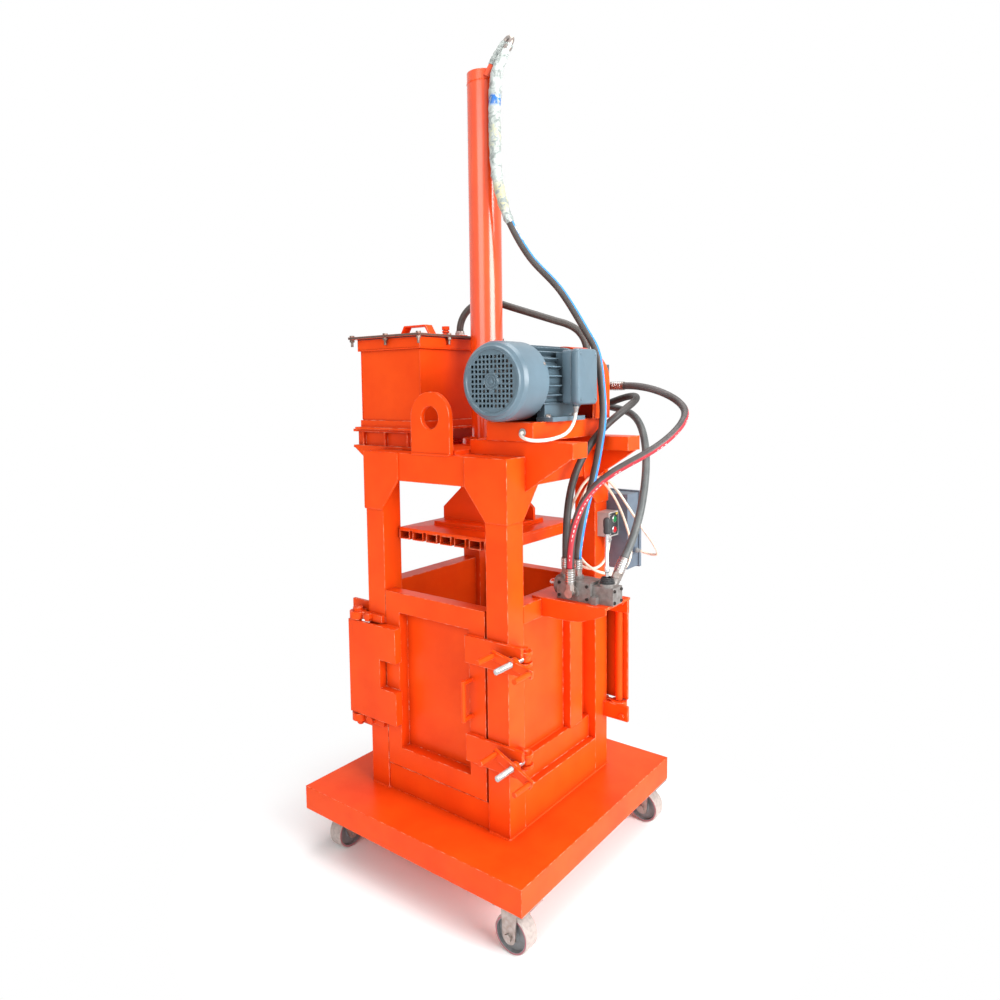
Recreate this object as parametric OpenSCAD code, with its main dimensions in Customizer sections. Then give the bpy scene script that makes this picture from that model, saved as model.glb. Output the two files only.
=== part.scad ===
// Hydraulic press for plastic bottles on a wheeled deck.
// Millimetres, +Z up, origin on the floor under the middle of the deck, loading door towards -Y.

/* [Deck and castors] */
// Side of the square deck
deck_size = 800; // [740:10:860]
// Depth of the deck skirt
deck_depth = 70; // [60:5:80]
// Castor wheel diameter
wheel_d = 100; // [90:5:110]
// Castor wheel width
wheel_w = 46; // [40:1:50]

/* [Frame] */
// Outside width of the four-post frame, along X
frame_width = 520; // [510:5:540]
// Outside depth of the four-post frame, along Y
frame_depth = 512; // [506:2:530]
// Side of the square posts
post_size = 70; // [64:2:74]
// Height of the frame top above the floor
frame_top = 1207; // [1180:1:1240]
// Depth of the top beams
beam_depth = 80; // [70:2:90]
// Height of the chamber side walls above the floor
wall_top = 812; // [780:2:830]

/* [Doors and latches] */
// Height of the door top above the floor
door_top = 800; // [780:2:806]
// Height of the door bottom above the floor
door_bottom = 280; // [270:2:300]
// Swing bolt thread diameter
stud_d = 16; // [14:1:18]
// Tilt of the wing bars on the upper bolts
wing_tilt_upper = -11; // [-40:1:40]
// Tilt of the wing bars on the lower bolts
wing_tilt_lower = -24; // [-40:1:40]

/* [Press] */
// Width of the pressing plate, along X
platen_w = 364; // [340:2:368]
// Depth of the pressing plate, along Y
platen_d = 400; // [360:2:404]
// Height of the pressing plate's top face, ram raised
platen_top = 980; // [950:1:1000]
// Outside diameter of the cylinder tube
cylinder_d = 96; // [88:1:104]
// Height of the cylinder top above the floor
cylinder_top = 2292; // [2240:2:2380]
// Piston rod diameter
rod_d = 50; // [44:1:56]

/* [Lifting lugs] */
// Lug width
lug_w = 142; // [120:2:160]
// Lug hole diameter
lug_hole_d = 64; // [50:1:70]

/* [Power unit] */
// Motor casing diameter over the fan cover
motor_d = 208; // [196:2:212]
// Pressure hose outside diameter
hose_d = 21; // [18:1:23]
// Suction and return hose outside diameter
big_hose_d = 22; // [20:1:24]
// Oil tank width, along X
tank_w = 246; // [230:2:250]
// Oil tank depth, along Y
tank_d = 350; // [330:2:370]

/* [Hidden] */
$fn = 32;
deck_z = wheel_d + 30;
zt = deck_z + deck_depth;
// places of the rigid castors and of the swivel castors' king pins
rigid_x = deck_size / 2 - 52;
rigid_y = deck_size / 2 - 48;
swivel_x = 75 - deck_size / 2;
swivel_y = deck_size / 2 - 65;
fx = frame_width / 2;
fy = frame_depth / 2;
ps = post_size;
ix = fx - ps;
iy = fy - ps;
bz = frame_top - beam_depth;
rod_top = frame_top + 12;
// hinge axis of the front door; the rear door's is the same turned half a turn
hx = -298;
hy = -fy - 10;
leaf_lo = 413;
leaf_hi = 699;
// swing bolt axis and heights
sx = fx + 34;
sy = -fy + 26;
latch_z = [420, 692];
// motor axis
mx = 218;
mz = 1404;
rail_lo = frame_top;
rail_hi = frame_top + 40;
base_hi = mz - 107;
tank_x = -108 - tank_w;
// valve spool axis
vy = -52;
vz = 848;
shelf_z = wall_top + 6;

// Return port of the valve: its lip, its slant, and where its hose begins
return_lip = [439.8, -13.2, 874.6];
return_way = unit([5.13, 25.08, 35.91]);
return_end = return_lip + 60.4 * return_way;
// Swan neck at the cylinder top: foot on the tube, turn, tilt and twist, and where its hose begins
neck_foot = [40.8, -25.3, cylinder_top - 13];
neck_turn = 37.5;
neck_tilt = 29.3;
neck_twist = -50;
neck_rise = 95;
neck_bend = 14;
neck_x = [cos(neck_tilt) * cos(neck_turn), cos(neck_tilt) * sin(neck_turn), -sin(neck_tilt)];
neck_y = [-sin(neck_turn), cos(neck_turn), 0];
neck_z = [sin(neck_tilt) * cos(neck_turn), sin(neck_tilt) * sin(neck_turn), cos(neck_tilt)];
neck_end = neck_foot + 2 * neck_bend * (cos(neck_twist) * neck_x + sin(neck_twist) * neck_y) + (neck_rise - 58) * neck_z;

// Route points of the hoses and cables
cap_route = [neck_end, [70.3, -29.2, 2262], [65.3, -29.3, 2216], [62.7, -30, 2160], [63.7, -30.5, 2105],
  [69.6, -34.8, 2015], [83.6, -36.6, 1940], [106, -20, 1854], [153, 10, 1756],
  [227, 50, 1662], [294, 75, 1547], [327, 85, 1479], [342, 85, 1381], [348, 80, 1297], [344, 65, 1214],
  [338, 40, 1128], [336, 5, 1054], [340, -30, 985], [345, vy, vz + 76]];
cap_r = [14, 16, 17, 16, 17, 15, 13, hose_d / 2];
pressure_route = [[337.5, 225, 1389], [378.9, 227.6, 1387.2], [419.1, 234.6, 1379.3],
  [458.1, 239.8, 1365.7], [495.1, 236.9, 1347.4], [525.9, 219.3, 1326.4], [544.2, 188.5, 1305.8],
  [550, 153.1, 1284.8], [545.3, 118.3, 1262.7], [532.5, 85.5, 1240.6], [513.2, 55.2, 1219.7],
  [489.2, 27.3, 1200.3], [462.5, 1.7, 1181.3], [434.9, -21.7, 1160.7], [409, -42.8, 1136],
  [387.2, -61, 1105.7], [371.1, -75.8, 1070.3], [360.7, -87.2, 1031.7], [354.8, -95.2, 991.3],
  [352.4, -99.9, 950.1], [352, -101, 908.5]];
rod_route = [[0, 91.5, 1262], [5.7, 132, 1262.1], [26, 167.7, 1263.2], [53.6, 198.1, 1266.5],
  [84.7, 224.4, 1272.8], [117.6, 247.1, 1282.6], [151.5, 266.7, 1295.5], [186.2, 283, 1310.6],
  [221.9, 295.9, 1326.7], [259.2, 304.1, 1342], [298.4, 303.3, 1353.9], [335.3, 286.4, 1358],
  [361.7, 255.6, 1353.4], [371.6, 217.9, 1341.2], [366, 181.2, 1323.6], [354.8, 147.3, 1302.9],
  [337.3, 123.8, 1279.6], [325.2, 94.2, 1253.6], [314.8, 66.6, 1224.8], [311.8, 33.1, 1193.4],
  [306.5, 10, 1159.8], [303.9, -10, 1123.8], [303.8, -26.1, 1085.9], [305, -38.1, 1046.5],
  [306.6, -46.2, 1006.1], [307.7, -50.8, 965.2], [308, vy, vz + 76]];
return_route = [return_end, [451.3, 45.3, 957.7], [453.3, 70.1, 991.3], [452.6, 94.5, 1025.3],
  [449.6, 117.9, 1059.9], [444.8, 140.2, 1095], [438.3, 161.8, 1130.3], [429.7, 183.1, 1165.3],
  [418.1, 204.5, 1199.3], [402.6, 226.5, 1231.4], [382.7, 249.6, 1260], [357.8, 273.6, 1283.4],
  [327.8, 297.3, 1300.4], [293.1, 317.8, 1311.5], [254.4, 331.4, 1319.3], [213.5, 334.6, 1326.8],
  [173.7, 326.2, 1336.3], [138.4, 307.6, 1348.5], [109.3, 281.5, 1363.2], [85.8, 250.9, 1379.4],
  [65.1, 218.5, 1396], [43.3, 186.8, 1412.5], [15.6, 159.5, 1427.8], [-21.1, 143, 1438],
  [-62.6, 140, 1440]];
suction_route = [[-155, 60, 1567], [-148.1, 62.9, 1602.9], [-128.6, 71, 1632.8], [-99.7, 83.1, 1651.8],
  [-66.1, 97.1, 1656.8], [-33.2, 110.9, 1647.9], [-0.9, 124.4, 1636.2], [31.4, 137.9, 1624.5],
  [63.7, 151.4, 1612.9], [96, 164.9, 1601.2], [128.4, 178.4, 1589.5], [160.7, 191.9, 1577.8],
  [189.6, 204, 1558.8], [209.1, 212.1, 1528.9], [mx - 2, 215, mz + 89]];
motor_lead_route = [[337, -45, 1335.5], [337.4, -47.2, 1314.3], [339.6, -58.9, 1296.5],
  [343.4, -75.8, 1283.9], [347.7, -94.9, 1275], [351.7, -115, 1268.6], [354.3, -135.8, 1263.7],
  [354, -156.9, 1259.8], [349.2, -177.5, 1256.5], [339, -196.2, 1254.1], [323.7, -211.2, 1253.3],
  [304.2, -219.6, 1255.4], [283.9, -217.2, 1261.1], [268.5, -204.1, 1267.7], [261.9, -184.2, 1271],
  [261.1, -162.8, 1269.5], [261.7, -141.5, 1266.8], [262, -120, 1266]];
switch_lead_route = [[285, 228, 926.5], [288.5, 211.3, 883.9], [295.7, 169.1, 863.7], [301.3, 122, 859.5],
  [303.3, 75, 866.9], [300.6, 32, 887.1], [294.2, -0.3, 921.2], [287.5, -14.6, 965.8],
  [283.9, -7.6, 1012.5], [283.3, 17.6, 1052.8], [281.7, 52.9, 1084.9], [279.2, 93.1, 1110.4],
  [279.8, 138.4, 1124.2], [290.1, 179.9, 1105.6], [305.1, 207.3, 1069.7], [321, 223.9, 1027.9],
  [336.9, 231.5, 983.5], [352.5, 229.9, 938.5], [364.8, 216.1, 894.7], [366.3, 184.5, 860],
  [355.2, 140.3, 847.6], [340.2, 95.6, 854.3], [325.6, 54.9, 874.2], [312.4, 21.8, 905.7],
  [302.6, 3, 948.1], [298.6, 4.4, 995.3], [297.8, 23, 1039.1], [296.8, 53.2, 1076], [295.5, 90.6, 1105.6],
  [296.7, 134.2, 1124.2], [305.3, 178.4, 1112.4], [321.8, 208.5, 1079.7], [344.6, 222.4, 1040.3],
  [370.7, 228.8, 1000.8], [398, 234.9, 962], [424.2, 244.2, 923.3], [423, 273.7, 888.8],
  [386.3, 299.6, 877.5], [339.5, 300, 884]];

function unit(v) = v / norm(v);
function spline(a, b, c, d, t) = 0.5 * (2 * b + (c - a) * t + (2 * a - 5 * b + 4 * c - d) * t * t
  + (3 * b - a - 3 * c + d) * t * t * t);
function ahead(p, q, d) = q + 2 * norm(p - q) * d;
function dense(p, n, out, into) = let (e = len(p) - 1) concat([for (i = [0 : e - 1]) for (k = [0 : n - 1])
  spline(i == 0 ? ahead(p[0], p[1], -out) : p[i - 1], p[i], p[i + 1],
    i == e - 1 ? ahead(p[e], p[e - 1], into) : p[i + 2], k / n)], [p[e]]);
function along(p, i, out, into) = i == 0 ? out : i == len(p) - 1 ? into : unit(p[i + 1] - p[i - 1]);
function sides(p, i, v, out, into) = i >= len(p) ? [] : let (t = along(p, i, out, into), m = unit(v - t * (v * t)))
  concat([m], sides(p, i + 1, m, out, into));

// A round hose or cable swept along its route, its ends cut square to the directions out and into
module hose(route, r, n, s, out, into) {
  p = dense(route, n, out, into);
  m = sides(p, 0, [0.31, 0.9, 0.25], out, into);
  verts = [for (i = [0 : len(p) - 1]) let (t = along(p, i, out, into), a = m[i], b = cross(t, a),
    q = is_list(r) ? r[min(floor(i / n), len(r) - 1)] : r)
    for (k = [0 : s - 1]) p[i] + q * (a * cos(360 * k / s) + b * sin(360 * k / s))];
  last = (len(p) - 1) * s;
  polyhedron(points = verts, faces = concat(
    [[for (k = [0 : s - 1]) k]],
    [[for (k = [s - 1 : -1 : 0]) last + k]],
    [for (i = [0 : len(p) - 2]) for (k = [0 : s - 1]) [i * s + k, (i + 1) * s + k, i * s + (k + 1) % s]],
    [for (i = [0 : len(p) - 2]) for (k = [0 : s - 1]) [i * s + (k + 1) % s, (i + 1) * s + k, (i + 1) * s + (k + 1) % s]]));
}

// A round bar from one point to another
module bar(a, b, r, f = 32) {
  v = b - a;
  translate(a) rotate([0, acos(v[2] / norm(v)), atan2(v[1], v[0])]) cylinder(h = norm(v), r = r, $fn = f);
}

// A box from its low corner to its high corner
module slab(a, b) {
  translate(a) cube(b - a);
}

// A square tube with open inside, from low corner to high corner, open along axis 0, 1 or 2
module box_tube(a, b, w, axis) {
  e = [axis == 0 ? -1 : w, axis == 1 ? -1 : w, axis == 2 ? -1 : w];
  difference() {
    slab(a, b);
    slab(a + e, b - e);
  }
}

// A plate drawn in X and Z, thick along Y from y0 to y1
module plate_xz(pts, y0, y1) {
  translate([0, y1, 0]) rotate([90, 0, 0]) linear_extrude(height = y1 - y0) polygon(pts);
}

// A plate drawn in Y and Z, thick along X from x0 to x1
module plate_yz(pts, x0, x1) {
  translate([x0, 0, 0]) rotate([90, 0, 90]) linear_extrude(height = x1 - x0) polygon(pts);
}

module both_ends() {
  children();
  rotate([0, 0, 180]) children();
}

// Deck, wheels and forks
module deck() {
  h = deck_size / 2;
  color([0.95, 0.32, 0.1]) union() {
    difference() {
      slab([-h, -h, deck_z], [h, h, zt]);
      slab([-h + 6, -h + 6, deck_z - 1], [h - 6, h - 6, zt - 8]);
    }
    for (s = [-1, 1]) difference() {
      slab([s * (h - 65) - 55, -h + 5, deck_z], [s * (h - 65) + 55, h - 5, zt - 7]);
      slab([s * (h - 65) - 49, -h + 4, deck_z + 6], [s * (h - 65) + 49, h - 4, zt - 8]);
    }
  }
}

module fork(offset) {
  r = wheel_d / 2;
  w = wheel_w / 2;
  color([0.62, 0.64, 0.66]) union() {
    for (s = [-1, 1]) {
      plate_xz([[-23, deck_z - 16], [23, deck_z - 16], [offset + 19, r], [offset - 19, r]],
        s > 0 ? w + 3 : -w - 8, s > 0 ? w + 8 : -w - 3);
      bar([offset, s * (w + 3), r], [offset, s * (w + 8), r], 19);
    }
    slab([-23, -w - 8, deck_z - 20], [23, w + 8, deck_z - 15]);
    bar([offset, -w - 13, r], [offset, w + 13, r], 6);
    for (s = [-1, 1]) bar([offset, s * (w + 7), r], [offset, s * (w + 14), r], 10, 6);
  }
}

module castor_brackets() {
  color([0.62, 0.64, 0.66]) {
    for (y = [-1, 1]) translate([rigid_x, y * rigid_y, 0]) union() {
      slab([-52, -42, deck_z - 5], [52, 42, deck_z]);
      slab([-20, -wheel_w / 2 - 7, deck_z - 16], [20, wheel_w / 2 + 7, deck_z - 4]);
      fork(0);
    }
    for (y = [-1, 1]) translate([swivel_x, y * swivel_y, 0]) union() {
      slab([-52, -42, deck_z - 5], [52, 42, deck_z]);
      translate([0, 0, deck_z - 12]) cylinder(h = 8, r = 30);
      translate([0, 0, deck_z - 14.6]) cylinder(h = 10, r = 8);
    }
  }
}

module swivel_fork_fl() {
  color([0.62, 0.64, 0.66]) translate([swivel_x, -swivel_y, 0]) rotate([0, 0, 90]) swivel_fork();
}

module swivel_fork_bl() {
  color([0.62, 0.64, 0.66]) translate([swivel_x, swivel_y, 0]) rotate([0, 0, 180]) swivel_fork();
}

module swivel_fork() {
  difference() {
    union() {
      fork(26);
      translate([0, 0, deck_z - 20]) cylinder(h = 7.6, r = 32);
    }
    translate([0, 0, deck_z - 15]) cylinder(h = 4, r = 8.06);
  }
}

module wheel() {
  r = wheel_d / 2;
  w = wheel_w / 2;
  rotate([90, 0, 0]) rotate_extrude($fn = 64) polygon([[6.06, -w + 1], [16, -w + 1], [16, -w + 9], [r - 10, -w + 9],
    [r - 8, -w], [r - 3, -w], [r - 0.8, -w + 2.5], [r, -w + 6], [r, w - 6], [r - 0.8, w - 2.5], [r - 3, w], [r - 8, w],
    [r - 10, w - 9], [16, w - 9], [16, w - 1], [6.06, w - 1]]);
}

module wheel_fl() {
  color([0.78, 0.74, 0.68]) translate([swivel_x, 26 - swivel_y, wheel_d / 2]) rotate([0, 0, 90]) wheel();
}

module wheel_bl() {
  color([0.78, 0.74, 0.68]) translate([swivel_x - 26, swivel_y, wheel_d / 2]) wheel();
}

module wheel_fr() {
  color([0.78, 0.74, 0.68]) translate([rigid_x, -rigid_y, wheel_d / 2]) wheel();
}

module wheel_br() {
  color([0.78, 0.74, 0.68]) translate([rigid_x, rigid_y, wheel_d / 2]) wheel();
}

// Four-post welded frame
module posts() {
  color([0.95, 0.32, 0.1]) for (x = [-1, 1]) for (y = [-1, 1])
    translate([x * (fx - ps / 2), y * (fy - ps / 2), 0]) difference() {
      slab([-ps / 2, -ps / 2, zt], [ps / 2, ps / 2, frame_top]);
      slab([-ps / 2 + 5, -ps / 2 + 5, zt - 1], [ps / 2 - 5, ps / 2 - 5, frame_top - 5]);
    }
}

module top_beams() {
  color([0.95, 0.32, 0.1]) {
    for (y = [-1, 1]) translate([0, y * (fy - ps / 2), 0]) box_tube([-ix, -ps / 2, bz], [ix, ps / 2, frame_top], 5, 0);
    for (x = [-1, 1]) translate([x * (fx - ps / 2), 0, 0]) box_tube([-ps / 2, -iy, bz], [ps / 2, iy, frame_top], 5, 1);
    difference() {
      union() {
        for (x = [-1, 1]) translate([x * 57, 0, 0]) box_tube([-20, -iy, bz], [20, iy, frame_top], 5, 1);
        slab([-77, -fy + 16, frame_top], [77, fy - 16, rod_top]);
      }
      translate([0, 0, frame_top - 1]) cylinder(h = 20, r = rod_d / 2 + 5);
    }
  }
}

module gussets() {
  a = [[0, 0], [140, 0], [140, -78], [ps, -168], [0, -168]];
  color([0.95, 0.32, 0.1]) for (x = [0, 1]) for (y = [0, 1]) mirror([x, 0, 0]) mirror([0, y, 0]) union() {
    plate_xz([for (q = a) [-fx - 4 + q[0], frame_top + q[1]]], -fy - 4, -fy);
    plate_yz([for (q = a) [-fy - 4 + q[0], frame_top + q[1]]], -fx - 4, -fx);
    if (x == 1 && y == 1) {
      bar([-fx - 3, -140, 1114.5], [-fx - 60, -140, 1114.5], 5);
      bar([-fx - 56, -140, 1114.5], [-fx - 64, -140, 1148], 5);
    }
  }
}

// Side walls with rails, stepped sill and one rib on the right
module side_walls() {
  color([0.95, 0.32, 0.1]) for (s = [0, 1]) mirror([s, 0, 0]) union() {
    slab([208, -iy, zt], [214, iy, wall_top]);
    slab([213, -iy, wall_top - 50], [fx, iy, wall_top]);
    slab([213, -iy, zt], [fx - 24, iy, 375]);
    slab([213, -iy, zt], [fx, iy, 307]);
    slab([213, s > 0 ? -35 : 75, 374], [fx - 20, s > 0 ? 30 : 140, wall_top - 49]);
  }
}

// Raised floor of the pressing chamber, with gaps between its bars for the straps
module chamber_floor() {
  color([0.95, 0.32, 0.1]) union() {
    difference() {
      slab([-207.5, -iy + 1, zt], [207.5, iy - 1, 246]);
      slab([-200, -iy + 8, zt - 1], [200, iy - 8, 240]);
    }
    for (i = [-3 : 3]) slab([i * 53 - 17, -iy - 28, 245], [i * 53 + 17, iy + 28, 270]);
    for (s = [0, 1]) mirror([0, s, 0]) slab([-ix + 0.5, -fy + 4, zt], [ix - 0.5, -fy + 10, door_bottom - 4]);
    for (s = [0, 1]) mirror([0, s, 0]) for (x = [-150, 0, 150]) slab([x - 4, -fy + 9, zt], [x + 4, -iy + 2, 244]);
  }
}

// Brackets welded on the posts: hinge eyes with their plates, and clevises of the swing bolts
module post_brackets() {
  color([0.95, 0.32, 0.1]) both_ends() {
    for (z = [[leaf_lo - 25, 362], [leaf_hi + 3, leaf_hi + 3]]) union() {
      difference() {
        union() {
          translate([hx, hy, z[0]]) cylinder(h = 22, r = 25);
          slab([hx, hy - 3, z[0]], [-ix - 4, hy + 9.99, z[0] + 22]);
        }
        translate([hx, hy, z[0] - 1]) cylinder(h = 24, r = 9);
      }
      slab([-345, hy + 23, z[1]], [-fx, hy + 33, z[1] + 47]);
    }
    for (z = latch_z) for (s = [-1, 1]) difference() {
      union() {
        slab([fx, sy - 20, z + s * 15 - 4], [sx, sy + 20, z + s * 15 + 4]);
        translate([sx, sy, z + s * 15 - 4]) cylinder(h = 8, r = 20);
      }
      translate([sx, sy, z + s * 15 - 5]) cylinder(h = 10, r = 6.5);
    }
  }
}

// Hinge pins, clevis pins and bracket bolts
module pins_bolts() {
  color([0.8, 0.36, 0.2]) both_ends() {
    translate([hx, hy, 372]) cylinder(h = 364, r = 8);
    translate([hx, hy, leaf_hi + 25]) cylinder(h = 11, r = 15);
    translate([hx, hy, 376]) cylinder(h = leaf_lo - 401, r = 11);
    for (z = [leaf_lo - 14, leaf_hi + 14]) translate([-246, hy - 3, z]) rotate([90, 0, 0]) cylinder(h = 11, r = 13, $fn = 6);
    for (z = [376, leaf_hi + 36]) translate([-326, hy + 33, z]) rotate([-90, 0, 0]) cylinder(h = 6, r = 9, $fn = 6);
    for (z = latch_z) {
      translate([sx, sy, z - 28]) cylinder(h = 56, r = 6);
      translate([sx, sy, z + 19]) cylinder(h = 8, r = 10);
    }
  }
}

// A hinged door: welded frame, stitched skin, hinge leaf with barrel, latch forks and pull handle
module door() {
  y0 = -fy;
  w = ix - 2;
  difference() {
    slab([-w, y0, door_bottom], [w - 5, y0 + 40, door_top]);
    slab([-134, y0 - 1, door_bottom + 58], [128, y0 + 33, door_top - 58]);
  }
  difference() {
    union() {
      slab([-205, y0 - 28, leaf_lo], [-126, y0 - 2, leaf_hi]);
      slab([hx - 24, y0 - 28, leaf_lo], [-204, y0 - 20, leaf_hi]);
      translate([hx, hy, leaf_lo]) cylinder(h = leaf_hi - leaf_lo, r = 11);
    }
    translate([hx, hy, leaf_lo - 1]) cylinder(h = leaf_hi - leaf_lo + 2, r = 8.06);
    slab([-191, y0 - 30, 512], [-120, y0, 598]);
  }
  slab([-w + 1, y0 - 3, leaf_lo + 5], [-134, y0 + 1, leaf_hi - 5]);
  for (z = latch_z) {
    difference() {
      slab([123, y0 - 12, z - 37], [sx + 16, y0 - 2, z + 37]);
      slab([sx - 22, y0 - 13, z - 10.5], [sx + 20, y0 - 1, z + 10.5]);
    }
    slab([128, y0 - 3, z - 30], [w - 6, y0 + 1, z + 30]);
  }
  bar([135, y0 - 34, 500], [135, y0 - 34, 612], 6);
  for (z = [506, 606]) bar([135, y0 - 34, z], [135, y0 + 1, z], 6);
}

module front_door() {
  color([0.95, 0.32, 0.1]) union() door();
}

module rear_door() {
  color([0.95, 0.32, 0.1]) rotate([0, 0, 180]) union() door();
}

// Swing bolt: eye on the clevis pin and a long threaded shank through the fork
module swing_bolt(z) {
  color([0.75, 0.76, 0.78]) difference() {
    union() {
      translate([sx, sy, z - 10]) cylinder(h = 20, r = 15);
      bar([sx, sy, z], [sx, -fy - 98, z], stud_d / 2);
    }
    translate([sx, sy, z - 11]) cylinder(h = 22, r = 6.06);
  }
}

module swing_bolt_fu() swing_bolt(latch_z[1]);

module swing_bolt_fl() swing_bolt(latch_z[0]);

module swing_bolt_ru() rotate([0, 0, 180]) swing_bolt(latch_z[1]);

module swing_bolt_rl() rotate([0, 0, 180]) swing_bolt(latch_z[0]);

// Wing nut: collar, cross bar and two round grips
module wing_nut(z, tilt) {
  color([0.93, 0.36, 0.14]) translate([sx, -fy, z]) rotate([0, tilt * -1, 0]) difference() {
    union() {
      bar([0, -28, 0], [0, -16, 0], 14);
      slab([-66, -36, -11], [66, -27, 11]);
      for (x = [-58, 58]) bar([x, -98, 0], [x, -35, 0], 7);
    }
    bar([0, -40, 0], [0, -12, 0], stud_d / 2 + 0.06);
  }
}

module wing_nut_fu() wing_nut(latch_z[1], wing_tilt_upper);

module wing_nut_fl() wing_nut(latch_z[0], wing_tilt_lower);

module wing_nut_ru() rotate([0, 0, 180]) wing_nut(latch_z[1], wing_tilt_upper);

module wing_nut_rl() rotate([0, 0, 180]) wing_nut(latch_z[0], wing_tilt_lower);

// Pressing plate with open tubes below and ribs above
module platen() {
  w = platen_w / 2;
  d = platen_d / 2;
  z = platen_top;
  color([0.95, 0.32, 0.1]) union() {
    slab([-w, -d, z - 8], [w, d, z]);
    for (i = [-3 : 3]) translate([i * (w - 21) / 3, 0, 0]) box_tube([-21, -d, z - 34], [21, d, z - 7.5], 3, 1);
    slab([-105, -105, z - 0.5], [105, 105, z + 12]);
    for (a = [0, 90, 180, 270]) rotate([0, 0, a])
      plate_xz([[30, z + 11], [160, z - 0.5], [160, z + 24], [112, z + 66], [30, z + 66]], -6, 6);
    translate([0, 0, z + 11]) cylinder(h = 56, r = 42);
  }
}

module piston_rod() {
  color([0.85, 0.86, 0.88]) union() {
    translate([0, 0, platen_top + 67]) cylinder(h = cylinder_top - platen_top - 160, r = rod_d / 2);
    translate([0, 0, cylinder_top - 110]) cylinder(h = 55, r = cylinder_d / 2 - 8.06);
  }
}

// Places its children on the slanted stub at the cylinder top
module swan_neck() {
  translate(neck_foot) rotate([0, 0, neck_turn]) rotate([0, neck_tilt, 0]) rotate([0, 0, neck_twist]) children();
}

module ram_cylinder() {
  r = cylinder_d / 2;
  color([0.95, 0.32, 0.1]) difference() {
    union() {
      translate([0, 0, rod_top]) cylinder(h = cylinder_top - rod_top, r = r, $fn = 64);
      translate([0, 0, rod_top]) cylinder(h = 20, r = 76, $fn = 64);
      bar([0, r - 6, 1262], [0, r + 14, 1262], 17);
      swan_neck() translate([0, 0, -14]) cylinder(h = 34, r = 12);
    }
    translate([0, 0, 1240]) cylinder(h = cylinder_top - 1268, r = r - 8, $fn = 64);
    translate([0, 0, rod_top - 1]) cylinder(h = 60, r = rod_d / 2 + 0.06);
  }
}

// Lifting lugs on the front and back beams
module lifting_lugs() {
  z = frame_top;
  r = lug_w / 2;
  color([0.95, 0.32, 0.1]) both_ends() difference() {
    union() {
      slab([-r, -fy, z], [r, -fy + 15, z + 101]);
      translate([0, -fy + 15, z + 101]) rotate([90, 0, 0]) cylinder(h = 15, r = r, $fn = 64);
    }
    translate([0, -fy + 20, z + 101]) rotate([90, 0, 0]) cylinder(h = 40, r = lug_hole_d / 2, $fn = 48);
  }
}

// Rails across the top with their cantilever brackets
module rails() {
  color([0.95, 0.32, 0.1]) for (y = [-1, 1]) translate([0, y * 145, 0]) union() {
    box_tube([80, -35, rail_lo], [411, 35, rail_hi], 4, 0);
    slab([406, -34, rail_lo + 1], [411, 34, rail_hi - 1]);
    plate_xz([[fx + 4, rail_lo], [405, rail_lo], [fx + 4, rail_lo - 92]], y < 0 ? -35 : 27, y < 0 ? -27 : 35);
  }
}

module motor_base() {
  color([0.95, 0.32, 0.1]) difference() {
    slab([mx - 76, -185, rail_hi], [mx + 76, 185, base_hi]);
    slab([mx - 70, -179, rail_hi + 6], [mx + 70, 179, base_hi - 6]);
    bar([262, -190, 1271], [262, -170, 1271], 8);
  }
}

// Motor: ribbed body, feet and bearings; perforated fan cover; terminal box; rotor with fan and coupling
module motor_body() {
  color([0.43, 0.52, 0.58]) difference() {
    union() {
      translate([mx, 60, mz]) rotate([90, 0, 0]) cylinder(h = 218, r = 84, $fn = 64);
      for (i = [0 : 23]) translate([mx, 0, mz]) rotate([0, i * 15 + 7.5, 0]) slab([80, -145, -1.5], [98, 40, 1.5]);
      translate([mx, 62, mz]) rotate([90, 0, 0]) cylinder(h = 16, r = 97, $fn = 64);
      translate([mx, -146, mz]) rotate([90, 0, 0]) cylinder(h = 12, r = motor_d / 2 - 3.1, $fn = 64);
      translate([mx, 72, mz]) rotate([90, 0, 0]) cylinder(h = 14, r = 40);
      for (x = [-1, 1]) {
        slab([mx + x * 74 - 26, -128, base_hi], [mx + x * 74 + 26, 34, base_hi + 12]);
        slab([mx + x * 60 - 12, -124, base_hi + 10], [mx + x * 60 + 12, 30, base_hi + 60]);
      }
      slab([mx + 70, -66, mz - 55], [mx + 92, 20, mz + 76]);
    }
    translate([mx, 100, mz]) rotate([90, 0, 0]) cylinder(h = 300, r = 14.06);
    slab([mx + 92, -80, mz - 70], [mx + 110, 34, mz + 92]);
  }
}

module fan_cover() {
  r = motor_d / 2;
  color([0.43, 0.52, 0.58]) difference() {
    translate([mx, 0, mz]) rotate([90, 0, 0]) rotate_extrude($fn = 64) polygon([[0, 260], [22, 260], [23, 258], [r - 24, 258],
      [r - 22, 261], [r - 15, 261], [r - 12, 257], [r - 5, 251], [r, 240], [r, 149], [r - 3, 149], [r - 3, 239], [r - 8, 248],
      [r - 16, 254], [0, 254]]);
    for (i = [-6 : 6]) for (k = [-6 : 6]) if (norm([i, k]) < 5.9 && norm([i, k]) > 2.1)
      translate([mx + i * 12.5, -256, mz + k * 12.5]) cube([8, 20, 8], center = true);
  }
}

module terminal_box() {
  color([0.43, 0.52, 0.58]) union() {
    slab([mx + 92, -71, mz - 61], [mx + 120, 25, mz + 82]);
    slab([mx + 119, -74, mz - 64], [mx + 145, 28, mz + 85]);
    translate([337, -45, mz - 68.5]) cylinder(h = 6, r = 8);
  }
}

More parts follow.
